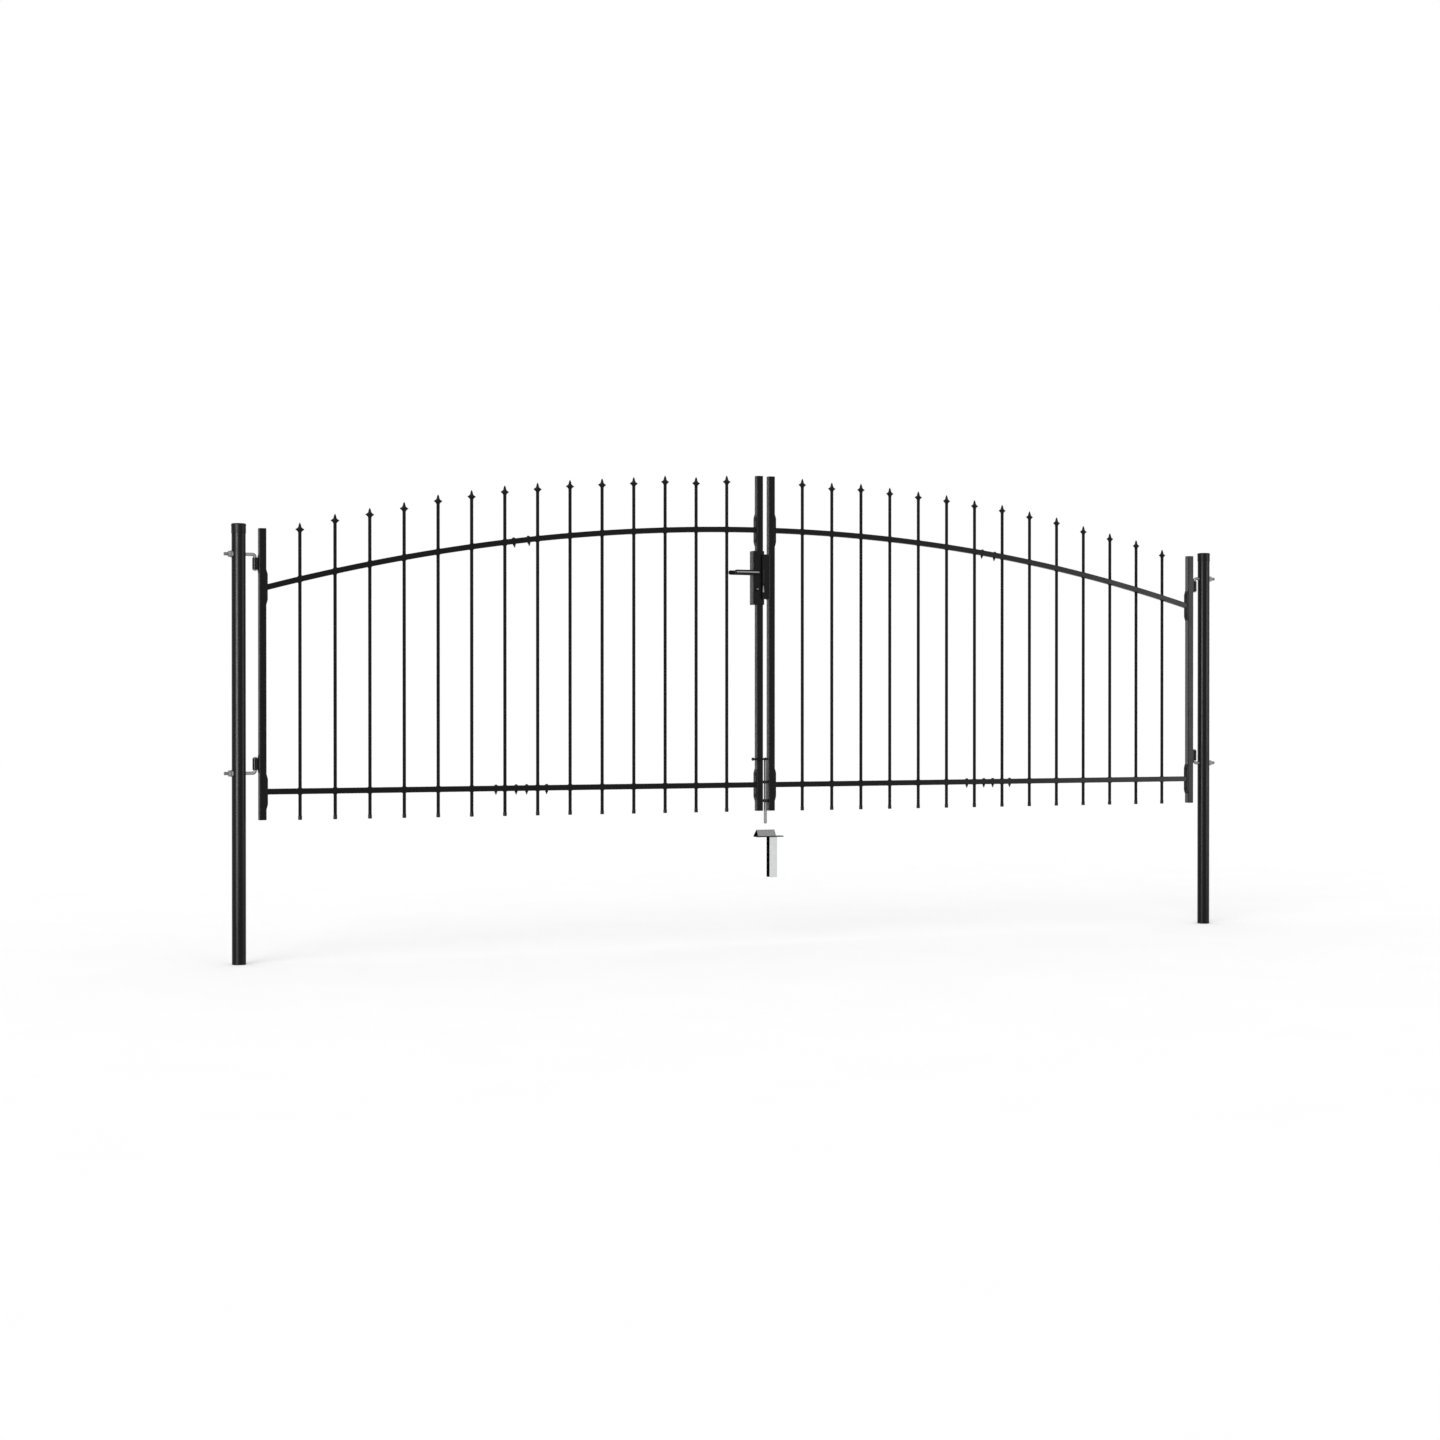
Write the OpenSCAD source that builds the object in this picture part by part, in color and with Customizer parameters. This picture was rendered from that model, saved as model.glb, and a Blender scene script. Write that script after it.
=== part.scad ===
// Arched double-leaf driveway gate of welded steel tube, with spear-topped bars.
// Origin: centre of the left post's foot. X runs along the gate to the right post,
// Y runs away from the front and Z runs up. Millimetres.

/* [Posts] */
// Distance between the centres of the two posts
post_spacing = 3952; // [2800:1:4800]
// Outside diameter of a post
post_d = 48; // [40:1:60]
// Wall of a post's tube
post_wall = 2; // [1.5:0.5:4]
// Length of a post's tube
post_len = 1500; // [1450:1:1800]
// Thickness of the disc that closes a post's foot
post_foot_t = 5; // [3:1:10]
// Height of a post's cap above the tube
post_cap_crown = 14; // [6:1:20]
// Depth of the cap's skirt down the tube
post_cap_skirt = 20; // [6:1:30]
// Wall of the cap's skirt
post_cap_wall = 1.2; // [0.8:0.1:2.5]

/* [Leaves] */
// Left post's centre to the left hinge stile's centre
left_reach = 81; // [75:1:100]
// Right post's centre to the right hinge stile's centre
right_reach = 70; // [68:1:100]
// Distance between the centres of the two meeting stiles
stile_gap = 49; // [47:1:60]
// Height of the stiles' lower ends
leaf_foot = 497; // [480:1:520]
// Outside width of a stile's square tube
stile_w = 25; // [23:1:27]
// Wall of a stile's tube
stile_wall = 1.5; // [1:0.5:3]
// Outside corner radius of a stile's tube
stile_corner = 2.5; // [1:0.5:4]
// Length of a hinge stile
hinge_stile_len = 999; // [960:1:1200]
// Length of a meeting stile
meeting_stile_len = 1251; // [1200:1:1400]
// Height of a stile cap's head
stile_cap_head = 3; // [1:0.5:5]
// Depth of a stile cap's plug inside the tube
stile_cap_plug = 12; // [8:1:30]

/* [Rails] */
// Side of a rail's square section
rail_w = 20; // [18:1:22]
// Height of the bottom rail's centre
bottom_rail_z = 592; // [570:1:620]
// Meeting stiles' tops to the arched rail's centre at the middle of the gate
crown_drop = 200; // [160:1:240]
// Hinge stiles' tops to the arched rail's centre there
spring_drop = 204; // [180:1:240]
// Thickness of the plate at a rail's end
end_plate_t = 4.5; // [3:0.5:6]
// Height of the plate at a rail's end
end_plate_h = 120; // [100:1:140]
// Run of the plate's tapered ends
end_plate_taper = 16; // [8:1:24]
// Side of the sleeve inside a rail's splice
sleeve_w = 14; // [10:1:15]
// Length of the sleeve inside a rail's splice
sleeve_len = 84; // [50:1:100]

/* [Bars] */
// Bars in one leaf
bar_count = 14; // [10:2:18]
// Diameter of a bar
bar_d = 12; // [10:0.5:14]
// Stile's centre to the nearest bar's centre
bar_margin = 131.5; // [110:0.5:140]
// Arched rail's centre to a bar's tip
spear_rise = 199; // [150:1:240]
// Length of the spear's point above its collar
spear_point = 14; // [10:1:30]
// Height of the spear's wings
spear_wing_h = 20; // [10:1:26]
// Width over the spear's wings
spear_w = 31; // [22:1:34]
// Height of the blunt edge at a wing's end
spear_edge = 2.5; // [1:0.5:5]
// Depth of the spear, front to back
spear_depth = 14; // [13.5:0.5:16]

/* [Hinges] */
// Height of the upper hinge hooks
upper_hook_z = 1408; // [1385:1:1440]
// Height of the lower hinge hooks
lower_hook_z = 656; // [640:1:680]
// Diameter of a hinge hook's rod
hook_d = 12; // [10:1:14]
// Length of the hook's thread outside the post
hook_tail = 27; // [22:1:40]
// Hinge stile's centre to the hinge axis
hinge_offset = 25; // [24:0.5:28]
// Outside diameter of a hinge eye
eye_d = 18; // [17:0.5:20]
// Height of a hinge eye
eye_h = 41; // [30:1:50]
// Clear height between a hook's rod and its eye
eye_gap = 5; // [5:1:10]
// Length of the pin past its eye
pin_tip = 4; // [2:1:8]
// Height of the eye's bracket on the stile
eye_root_h = 77; // [60:1:90]
// Clear gap between a hook's rod and the bracket's foot when the leaf is open
eye_root_clear = 3; // [2.5:0.5:4]
// Width of a nut across its flats
nut_flats = 19; // [18:0.5:24]
// Thickness of a nut
nut_t = 10; // [6:1:12]
// Diameter of a saddle washer
washer_d = 25; // [22:1:30]
// Thickness of a saddle washer at its middle
washer_t = 3; // [2:0.5:5]

/* [Lock] */
// Meeting stiles' tops to the lock case's centre
lock_drop = 380; // [360:1:400]
// Height of the lock case
lock_h = 202; // [180:1:220]
// Depth of the lock case, front to back
lock_depth = 36; // [33:1:40]
// Lock case's reach from the stile's centre, away from the gap
lock_back = 30; // [26:1:36]
// Wall of the lock case between the stile and the gap
lock_face_t = 2.5; // [1.5:0.5:3]
// Stile's centre to the axes of the lever and the key cylinder
lock_setback = 14; // [10:1:16]
// Height of the lever's axis above the case's centre
lever_rise = 20; // [10:1:30]
// Diameter of the lever's spindle
spindle_d = 8; // [6:1:10]
// Diameter of the lever's neck
lever_neck_d = 10; // [9:1:20]
// Clear gap between the lever's grip and the case
lever_stand = 5.5; // [5:0.5:30]
// Length of the lever's grip from its axis
lever_len = 97; // [80:1:120]
// Height of the lever's grip
lever_h = 17; // [14:1:24]
// Thickness of the lever's grip
lever_t = 11; // [7:1:13]
// Lever's axis to the key cylinder's axis
cylinder_drop = 62; // [56:1:85]
// Diameter of the key cylinder
cylinder_d = 17; // [14:0.5:18]
// Stand of the key cylinder off the case
cylinder_stand = 4; // [2:1:8]
// Lever's axis to the latch tongue's centre
latch_drop = 36; // [28:1:44]
// Height of the latch tongue
latch_h = 18; // [12:1:24]
// Thickness of the latch tongue
latch_t = 12; // [8:1:14]
// Latch tongue's length outside the case
latch_throw = 11; // [8:1:12]
// Latch tongue's length inside the case
latch_tail = 12; // [8:1:13]
// Height of the keep on the right meeting stile
keep_h = 168; // [140:1:190]
// Height of the keep's centre above the lock case's centre
keep_rise = 4; // [0:1:8]
// Thickness of the keep's plate
keep_t = 3; // [2:0.5:4]
// Clear gap between the lock case and the keep's front lip
keep_clear = 5; // [5:0.5:8]
// Overlap of the keep's front lip over the lock case
keep_lap = 12; // [4:1:12]

/* [Drop bolt] */
// Diameter of the drop bolt's rod
bolt_d = 12; // [10:1:13]
// Height of the rod's lower end
bolt_foot_z = 446; // [436:1:460]
// Height of the bolt's handle
bolt_handle_z = 689; // [680:1:720]
// Right meeting stile's face to the rod's centre
bolt_stand = 9.5; // [8:0.5:10.5]
// Stand of the handle's bar in front of the rod
handle_stand = 24; // [23:1:32]
// Diameter of the handle's bar
handle_d = 8; // [6:1:9]
// Reach of the handle's bar past the rod
handle_len = 58; // [50:1:80]
// Diameter of the handle's knob
knob_d = 12; // [10:1:16]
// Length of the handle's knob
knob_len = 8; // [6:1:12]
// Height of the upper guide ring's centre
upper_guide_z = 602; // [590:1:605]
// Height of the lower guide ring's centre
lower_guide_z = 532; // [515:1:550]
// Height of a guide ring
guide_h = 11; // [8:1:14]
// Outside diameter of a guide ring
guide_d = 18; // [17:0.5:19]

/* [Ground socket] */
// Height of the socket plate's top
socket_z = 400; // [390:1:405]
// Thickness of the socket's plate
socket_plate_t = 4; // [3:0.5:6]
// Length of the socket's plate along the gate
socket_plate_len = 108; // [104:1:130]
// Length of the folded ramp along the gate
ramp_len = 74; // [68:1:90]
// Rod's centre to the ramp's left end
ramp_lead = 41.5; // [36:0.5:46]
// Run of the ramp's front slope
ramp_front = 15.5; // [12:0.5:24]
// Run of the ramp's back slope
ramp_back = 27.5; // [26:0.5:36]
// Height of the folded ramp
ramp_h = 25; // [20:1:30]
// Thickness of the folded ramp's sheet
ramp_t = 2; // [1.5:0.5:3]
// Clear gap between the ramp's ridge and the socket's hole
ridge_clear = 0.5; // [0.5:0.5:3]
// Play around the rod in the socket's hole
socket_play = 4; // [2:0.5:5]
// Width of the socket's anchor along the gate
anchor_w = 32; // [24:1:34]
// Depth of the socket's anchor
anchor_depth = 28; // [20:1:32]
// Wall of the socket's anchor
anchor_wall = 2; // [1.5:0.5:3]
// Length of the socket's anchor
anchor_len = 152; // [120:1:200]
// Clear gap between the rod's path and the anchor
anchor_clear = 5; // [4:1:8]

/* [Hidden] */

$fn = 48;
arch_fn = 1440;
LEFT = -1;
RIGHT = 1;

powder_black = "#1c1d1e";
plastic_black = "#121212";
zinc = "#a9adb0";
satin_metal = "#b9bbbd";

// Play between pieces that slide or turn in one another, and past-the-edge run of a cut
fit_clear = 0.3;
overrun = 2;

// A spear's waist as a share of its bar's width, and its point's width halfway up as a share of the waist
spear_waist_share = 0.85;
spear_swell_share = 0.72;

// How much longer or shorter each bar is cut than the arch asks for, from the hinge stile inward
bar_trims = [-3, 1.5, -2, -2.5, 4.5, 3.5, 5.5, 3, 3.5, 1, 0.5, 3, -3.5, 3];
function bar_trim(i) = i < len(bar_trims) ? bar_trims[i] : 0;

// Places along the gate
leaf_span = (post_spacing - left_reach - right_reach - stile_gap) / 2;
left_stile_x = left_reach;
right_stile_x = post_spacing - right_reach;
half_stile = stile_w / 2;
hinge_top_z = leaf_foot + hinge_stile_len;
meeting_top_z = leaf_foot + meeting_stile_len;

// The arch is one circle over both leaves, through its crown and its two feet
arch_half_chord = leaf_span + stile_gap / 2;
arch_crown_z = meeting_top_z - crown_drop;
arch_foot_z = hinge_top_z - spring_drop;
arch_sag = arch_crown_z - arch_foot_z;
arch_r = (arch_half_chord * arch_half_chord + arch_sag * arch_sag) / (2 * arch_sag);
arch_centre_z = arch_crown_z - arch_r;
function arch_z(u) = arch_centre_z + sqrt(arch_r * arch_r - pow(arch_half_chord - u, 2));
function arch_slope(u) = asin((arch_half_chord - u) / arch_r);

// Places along one leaf, from the hinge stile's centre
bar_pitch = (leaf_span - 2 * bar_margin) / (bar_count - 1);
function bar_u(i) = bar_margin + i * bar_pitch;
half_bars = bar_count / 2;
splice_u = leaf_span / 2;
rail_start_u = half_stile + end_plate_t;
rail_end_u = leaf_span - half_stile - end_plate_t;

// The lock and the keep
lock_z = meeting_top_z - lock_drop;
lock_axis_u = leaf_span - lock_setback;
lever_z = lock_z + lever_rise;
cylinder_z = lever_z - cylinder_drop;
latch_z = lever_z - latch_drop;
lock_front = lock_depth / 2;
keep_z = lock_z + keep_rise;
lip_y = lock_front + keep_clear;
latch_gap_u = leaf_span + half_stile + lock_face_t;

// The drop bolt and its socket, from the right leaf's hinge stile
bolt_u = leaf_span + half_stile + bolt_stand;
bolt_x = right_stile_x - bolt_u;
socket_hole_d = bolt_d + 2 * socket_play;
anchor_x = bolt_x + bolt_d / 2 + anchor_clear + anchor_w / 2;
plate_left_x = bolt_x - ramp_lead;
ridge_y = -socket_hole_d / 2 - ridge_clear;
ramp_front_y = ridge_y - ramp_front;
ramp_back_y = ridge_y + ramp_back;

module leaf_place(side) {
    if (side == LEFT) {
        translate([left_stile_x, 0, 0]) children();
    } else {
        translate([right_stile_x, 0, 0]) mirror([1, 0, 0]) children();
    }
}

module rounded_square(side, radius) {
    core = side - 2 * radius;
    square([side, core], center = true);
    square([core, side], center = true);
    for (sx = [-1, 1], sy = [-1, 1])
        translate([sx * core / 2, sy * core / 2]) circle(r = radius);
}

module rod_x(diameter, from, to) {
    translate([from, 0, 0]) rotate([0, 90, 0]) cylinder(d = diameter, h = to - from);
}

module rod_y(diameter, from, to) {
    translate([0, to, 0]) rotate([90, 0, 0]) cylinder(d = diameter, h = to - from);
}

// Posts and their caps
module post(x) {
    color(powder_black)
    difference() {
        translate([x, 0, 0]) cylinder(d = post_d, h = post_len);
        translate([x, 0, post_foot_t])
            cylinder(d = post_d - 2 * post_wall, h = post_len - post_foot_t + overrun);
        for (z = [upper_hook_z, lower_hook_z])
            translate([x, 0, z])
                rod_x(hook_d + 2 * fit_clear, -post_d / 2 - overrun, post_d / 2 + overrun);
    }
}

module post_cap(x) {
    inner_d = post_d + 2 * fit_clear;
    outer_d = inner_d + 2 * post_cap_wall;
    edge = post_cap_crown / 2;
    color(plastic_black)
    translate([x, 0, post_len])
        difference() {
            union() {
                translate([0, 0, -post_cap_skirt])
                    cylinder(d = outer_d, h = post_cap_skirt + post_cap_crown - edge);
                translate([0, 0, post_cap_crown - edge])
                    cylinder(d1 = outer_d, d2 = outer_d - edge, h = edge);
            }
            translate([0, 0, -post_cap_skirt - overrun])
                cylinder(d = inner_d, h = post_cap_skirt + overrun);
        }
}

// Hinge hooks: a threaded rod through the post, bent into an upright pin
module hook(side, reach, z, up) {
    pin_len = hook_d / 2 + eye_gap + eye_h + pin_tip;
    color(zinc)
    leaf_place(side) translate([0, 0, z]) {
        rod_x(hook_d, -reach - post_d / 2 - hook_tail, -hinge_offset);
        translate([-hinge_offset, 0, 0]) sphere(d = hook_d);
        translate([-hinge_offset, 0, up ? 0 : -pin_len]) cylinder(d = hook_d, h = pin_len);
    }
}

module hook_nuts(side, reach) {
    seat = -reach - post_d / 2 - washer_t;
    color(zinc)
    leaf_place(side)
        for (z = [upper_hook_z, lower_hook_z])
            translate([0, 0, z])
                difference() {
                    union() {
                        rod_x(washer_d, seat, -reach);
                        translate([seat - nut_t, 0, 0]) rotate([0, 90, 0])
                            cylinder(d = nut_flats / cos(30), h = nut_t, $fn = 6);
                    }
                    translate([-reach, 0, -washer_d])
                        cylinder(d = post_d + 2 * fit_clear, h = 2 * washer_d);
                    rod_x(hook_d + 2 * fit_clear, seat - nut_t - overrun, -reach);
                }
}

// Stiles, with their cut-outs for the lock
module stile(u, length) {
    translate([u, 0, leaf_foot])
        linear_extrude(height = length)
            difference() {
                rounded_square(stile_w, stile_corner);
                square(stile_w - 2 * stile_wall, center = true);
            }
}

module hinge_stile(side) {
    color(powder_black)
    leaf_place(side) stile(0, hinge_stile_len);
}

module lock_bores(play) {
    run = lock_depth;
    translate([lock_axis_u, 0, lever_z]) rod_y(spindle_d + 2 * play, -run, run);
    translate([lock_axis_u, 0, cylinder_z]) rod_y(cylinder_d + 2 * play, -run, run);
    translate([leaf_span, 0, latch_z])
        translate([0, -latch_t / 2 - play, -latch_h / 2 - play])
            cube([stile_w, latch_t + 2 * play, latch_h + 2 * play]);
}

module meeting_stile(side) {
    color(powder_black)
    leaf_place(side)
        difference() {
            stile(leaf_span, meeting_stile_len);
            if (side == LEFT) lock_bores(fit_clear);
        }
}

module stile_cap(u, z, up) {
    plug_w = stile_w - 2 * stile_wall - 2 * fit_clear;
    translate([u, 0, z]) mirror([0, 0, up ? 0 : 1]) {
        linear_extrude(height = stile_cap_head) rounded_square(stile_w, stile_corner);
        translate([-plug_w / 2, -plug_w / 2, -stile_cap_plug])
            cube([plug_w, plug_w, stile_cap_plug + stile_cap_head / 2]);
    }
}

module stile_caps(side) {
    color(plastic_black)
    leaf_place(side) {
        stile_cap(0, leaf_foot, false);
        stile_cap(0, hinge_top_z, true);
        stile_cap(leaf_span, leaf_foot, false);
        stile_cap(leaf_span, meeting_top_z, true);
    }
}

// Rails, bars and spears, welded into two half panels for each leaf
module arch_ring() {
    translate([arch_half_chord, 0, arch_centre_z]) rotate([90, 0, 0])
        difference() {
            cylinder(r = arch_r + rail_w / 2, h = rail_w, center = true, $fn = arch_fn);
            cylinder(r = arch_r - rail_w / 2, h = rail_w + overrun, center = true, $fn = arch_fn);
        }
}

module rails(from, to) {
    translate([from, -rail_w / 2, bottom_rail_z - rail_w / 2]) cube([to - from, rail_w, rail_w]);
    intersection() {
        arch_ring();
        translate([from, -rail_w, arch_foot_z - end_plate_h])
            cube([to - from, 2 * rail_w, arch_sag + 2 * end_plate_h]);
    }
}

// A spear is a blunt pointed head with two side wings, thin from front to back
module spear() {
    wing = spear_w / 2;
    neck = bar_d / 2;
    waist = neck * spear_waist_share;
    swell = waist * spear_swell_share;
    half_edge = spear_edge / 2;
    middle = -spear_wing_h / 2;
    intersection() {
        rotate([90, 0, 0])
            linear_extrude(height = spear_depth, center = true)
                polygon([
                    [neck, -spear_wing_h], [wing, middle - half_edge], [wing, middle + half_edge],
                    [waist, 0], [swell, spear_point / 2], [0, spear_point], [-swell, spear_point / 2], [-waist, 0],
                    [-wing, middle + half_edge], [-wing, middle - half_edge], [-neck, -spear_wing_h]
                ]);
        translate([0, 0, -spear_wing_h])
            linear_extrude(height = spear_wing_h + spear_point)
                polygon([[wing, 0], [0, spear_depth / 2], [-wing, 0], [0, -spear_depth / 2]]);
    }
}

module bar(i) {
    u = bar_u(i);
    spear_z = arch_z(u) + spear_rise + bar_trim(i) - spear_point;
    translate([u, 0, leaf_foot]) cylinder(d = bar_d, h = spear_z - spear_wing_h / 2 - leaf_foot);
    translate([u, 0, spear_z]) spear();
}

module splice_box(width, length) {
    translate([splice_u, 0, bottom_rail_z]) cube([length, width, width], center = true);
    translate([splice_u, 0, arch_z(splice_u)]) rotate([0, -arch_slope(splice_u), 0])
        cube([length, width, width], center = true);
}

module panel(side, first, last, from, to) {
    color(powder_black)
    leaf_place(side)
        difference() {
            union() {
                rails(from, to);
                for (i = [first : last]) bar(i);
            }
            splice_box(sleeve_w + 2 * fit_clear, sleeve_len + 2 * fit_clear);
        }
}

module outer_panel(side) {
    panel(side, 0, half_bars - 1, rail_start_u, splice_u);
}

module inner_panel(side) {
    panel(side, half_bars, bar_count - 1, splice_u, rail_end_u);
}

module splice_sleeves(side) {
    color(powder_black)
    leaf_place(side) splice_box(sleeve_w, sleeve_len);
}

// Plates that bolt the rails' ends to the stiles
module end_plate(u, z, inward) {
    half = end_plate_h / 2;
    flat = half - end_plate_taper;
    translate([u, stile_w / 2, z]) rotate([90, 0, 0])
        linear_extrude(height = stile_w)
            polygon([
                [0, -half], [inward * end_plate_t, -flat],
                [inward * end_plate_t, flat], [0, half]
            ]);
}

module end_plates(side) {
    near = half_stile;
    far = leaf_span - half_stile;
    color(powder_black)
    leaf_place(side) {
        end_plate(near, bottom_rail_z, 1);
        end_plate(near, arch_z(rail_start_u), 1);
        end_plate(far, bottom_rail_z, -1);
        end_plate(far, arch_z(rail_end_u), -1);
    }
}

// Hinge eyes: a bored barrel on a flared bracket that is welded to the hinge stile's side
module eye(side, hook_z, up) {
    foot = hook_d / 2 + eye_gap;
    centre_z = up ? hook_z + foot + eye_h / 2 : hook_z - foot - eye_h / 2;
    root = eye_root_h / 2;
    tip = eye_h / 2;
    flare_u = hinge_offset - hook_d / 2 - eye_root_clear;
    color(powder_black)
    leaf_place(side) translate([0, 0, centre_z])
        difference() {
            union() {
                translate([-hinge_offset, 0, -tip]) cylinder(d = eye_d, h = eye_h);
                translate([0, eye_d / 2, 0]) rotate([90, 0, 0])
                    linear_extrude(height = eye_d)
                        polygon([
                            [-half_stile, -root], [-half_stile, root], [-flare_u, tip],
                            [-hinge_offset, tip], [-hinge_offset, -tip], [-flare_u, -tip]
                        ]);
            }
            translate([-hinge_offset, 0, -eye_root_h])
                cylinder(d = hook_d + 2 * fit_clear, h = 2 * eye_root_h);
        }
}

// Lock: a case around the left meeting stile, a key cylinder, a lever on both sides and a tongue
module lock_case() {
    color(powder_black)
    leaf_place(LEFT)
        difference() {
            translate([leaf_span - lock_back, -lock_front, lock_z - lock_h / 2])
                cube([lock_back + half_stile + lock_face_t, lock_depth, lock_h]);
            translate([leaf_span - half_stile, -half_stile, lock_z - lock_h])
                cube([stile_w, stile_w, 2 * lock_h]);
            lock_bores(fit_clear);
        }
}

module lock_cylinder() {
    reach = lock_front + cylinder_stand;
    color(powder_black)
    leaf_place(LEFT) translate([lock_axis_u, 0, cylinder_z]) rod_y(cylinder_d, -reach, reach);
}

module grip() {
    bend_r = lever_t / 2;
    straight = lever_h - lever_t;
    translate([-lever_len, 0, 0]) rotate([90, 0, 90])
        linear_extrude(height = lever_len + lever_neck_d / 2) {
            square([lever_t, straight], center = true);
            for (s = [-1, 1]) translate([0, s * straight / 2]) circle(r = bend_r);
        }
}

module lock_lever() {
    grip_y = lock_front + lever_stand + lever_t / 2;
    color(plastic_black)
    leaf_place(LEFT) translate([lock_axis_u, 0, lever_z]) {
        rod_y(spindle_d, -lock_front - overrun, lock_front + overrun);
        for (s = [-1, 1])
            scale([1, s, 1]) {
                rod_y(lever_neck_d, lock_front + fit_clear, grip_y);
                translate([0, grip_y, 0]) grip();
            }
    }
}

module lock_latch() {
    color(satin_metal)
    leaf_place(LEFT)
        translate([latch_gap_u - latch_tail, -latch_t / 2, latch_z - latch_h / 2])
            cube([latch_tail + latch_throw, latch_t, latch_h]);
}

// Keep on the right meeting stile: a side plate and a front lip that laps the lock case
module lock_keep() {
    gap_u = leaf_span + half_stile;
    lip_len = stile_gap - stile_w - lock_face_t + keep_lap;
    color(powder_black)
    leaf_place(RIGHT) translate([0, 0, keep_z - keep_h / 2]) {
        translate([gap_u, -lip_y - keep_t, 0]) cube([keep_t, lip_y + keep_t + half_stile, keep_h]);
        translate([gap_u, -lip_y - keep_t, 0]) cube([lip_len, keep_t, keep_h]);
    }
}

// Drop bolt on the right meeting stile, and the two rings that guide it
module bolt_guides() {
    face_u = leaf_span + half_stile;
    color(powder_black)
    leaf_place(RIGHT)
        for (z = [upper_guide_z, lower_guide_z])
            translate([0, 0, z - guide_h / 2])
                difference() {
                    union() {
                        translate([bolt_u, 0, 0]) cylinder(d = guide_d, h = guide_h);
                        translate([face_u, -bolt_d / 2, 0]) cube([bolt_stand, bolt_d, guide_h]);
                    }
                    translate([bolt_u, 0, -overrun])
                        cylinder(d = bolt_d + 2 * fit_clear, h = guide_h + 2 * overrun);
                }
}

module drop_bolt() {
    color(zinc)
    leaf_place(RIGHT) translate([bolt_u, 0, 0]) {
        translate([0, 0, bolt_foot_z]) cylinder(d = bolt_d, h = bolt_handle_z - bolt_foot_z);
        translate([0, 0, bolt_handle_z]) {
            sphere(d = bolt_d);
            rod_y(handle_d, -handle_stand, 0);
            translate([0, -handle_stand, 0]) {
                sphere(d = handle_d);
                rod_x(handle_d, 0, handle_len);
                rod_x(knob_d, handle_len, handle_len + knob_len);
            }
        }
    }
}

// Ground socket: a folded ramp on a plate, over an anchor that is open to the left
module socket_hole() {
    translate([bolt_x, 0, socket_z - ramp_h]) cylinder(d = socket_hole_d, h = 3 * ramp_h);
}

// The fold's inside is a smaller triangle of the same slopes, one sheet's thickness in
module socket_ramp() {
    front_slope = sqrt(ramp_front * ramp_front + ramp_h * ramp_h);
    back_slope = sqrt(ramp_back * ramp_back + ramp_h * ramp_h);
    inner_front_y = ramp_front_y + ramp_t * front_slope / ramp_h;
    inner_back_y = ramp_back_y - ramp_t * back_slope / ramp_h;
    inner_share = (inner_back_y - inner_front_y) / (ramp_front + ramp_back);
    color(zinc)
    difference() {
        translate([plate_left_x, 0, socket_z]) rotate([90, 0, 90])
            linear_extrude(height = ramp_len)
                polygon([
                    [ramp_front_y, 0], [ridge_y, ramp_h], [ramp_back_y, 0], [inner_back_y, 0],
                    [inner_front_y + ramp_front * inner_share, ramp_h * inner_share], [inner_front_y, 0]
                ]);
        socket_hole();
    }
}

module socket_plate() {
    color(zinc)
    difference() {
        translate([plate_left_x, ramp_front_y, socket_z - socket_plate_t])
            cube([socket_plate_len, ramp_front + ramp_back, socket_plate_t]);
        socket_hole();
    }
}

module socket_anchor() {
    color(zinc)
    translate([anchor_x, 0, socket_z - socket_plate_t - anchor_len])
        linear_extrude(height = anchor_len)
            difference() {
                square([anchor_w, anchor_depth], center = true);
                translate([-anchor_w / 2 - overrun, anchor_wall - anchor_depth / 2])
                    square([anchor_w + overrun - anchor_wall, anchor_depth - 2 * anchor_wall]);
            }
}

post(0);  // left_post
post(post_spacing);  // right_post
post_cap(0);  // left_post_cap
post_cap(post_spacing);  // right_post_cap
hook(LEFT, left_reach, upper_hook_z, false);  // left_upper_hook
hook(LEFT, left_reach, lower_hook_z, true);  // left_lower_hook
hook(RIGHT, right_reach, upper_hook_z, false);  // right_upper_hook
hook(RIGHT, right_reach, lower_hook_z, true);  // right_lower_hook
hook_nuts(LEFT, left_reach);  // left_hook_nuts
hook_nuts(RIGHT, right_reach);  // right_hook_nuts
socket_ramp();
socket_plate();
socket_anchor();
hinge_stile(LEFT);  // left_hinge_stile
meeting_stile(LEFT);  // left_meeting_stile
stile_caps(LEFT);  // left_stile_caps
outer_panel(LEFT);  // left_outer_panel
inner_panel(LEFT);  // left_inner_panel
splice_sleeves(LEFT);  // left_splice_sleeves
end_plates(LEFT);  // left_end_plates
eye(LEFT, upper_hook_z, false);  // left_upper_eye
eye(LEFT, lower_hook_z, true);  // left_lower_eye
lock_case();
lock_cylinder();
lock_lever();
lock_latch();
hinge_stile(RIGHT);  // right_hinge_stile
meeting_stile(RIGHT);  // right_meeting_stile
stile_caps(RIGHT);  // right_stile_caps
outer_panel(RIGHT);  // right_outer_panel
inner_panel(RIGHT);  // right_inner_panel
splice_sleeves(RIGHT);  // right_splice_sleeves
end_plates(RIGHT);  // right_end_plates
eye(RIGHT, upper_hook_z, false);  // right_upper_eye
eye(RIGHT, lower_hook_z, true);  // right_lower_eye
lock_keep();
bolt_guides();
drop_bolt();
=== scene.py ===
# %% [markdown]
# # A driveway gate of black tube
# The gate has two leaves of welded steel tube under one shared arch. Everything on it is drawn in
# millimetres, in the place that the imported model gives, and becomes metres only when a piece is finished.
# The frame comes first: each piece later rides on one of its bodies, so the leaves, the lever and the bolt
# still move.

# %% Load the frame
import math

import bmesh
import bpy
from mathutils import Matrix, Vector


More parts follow.
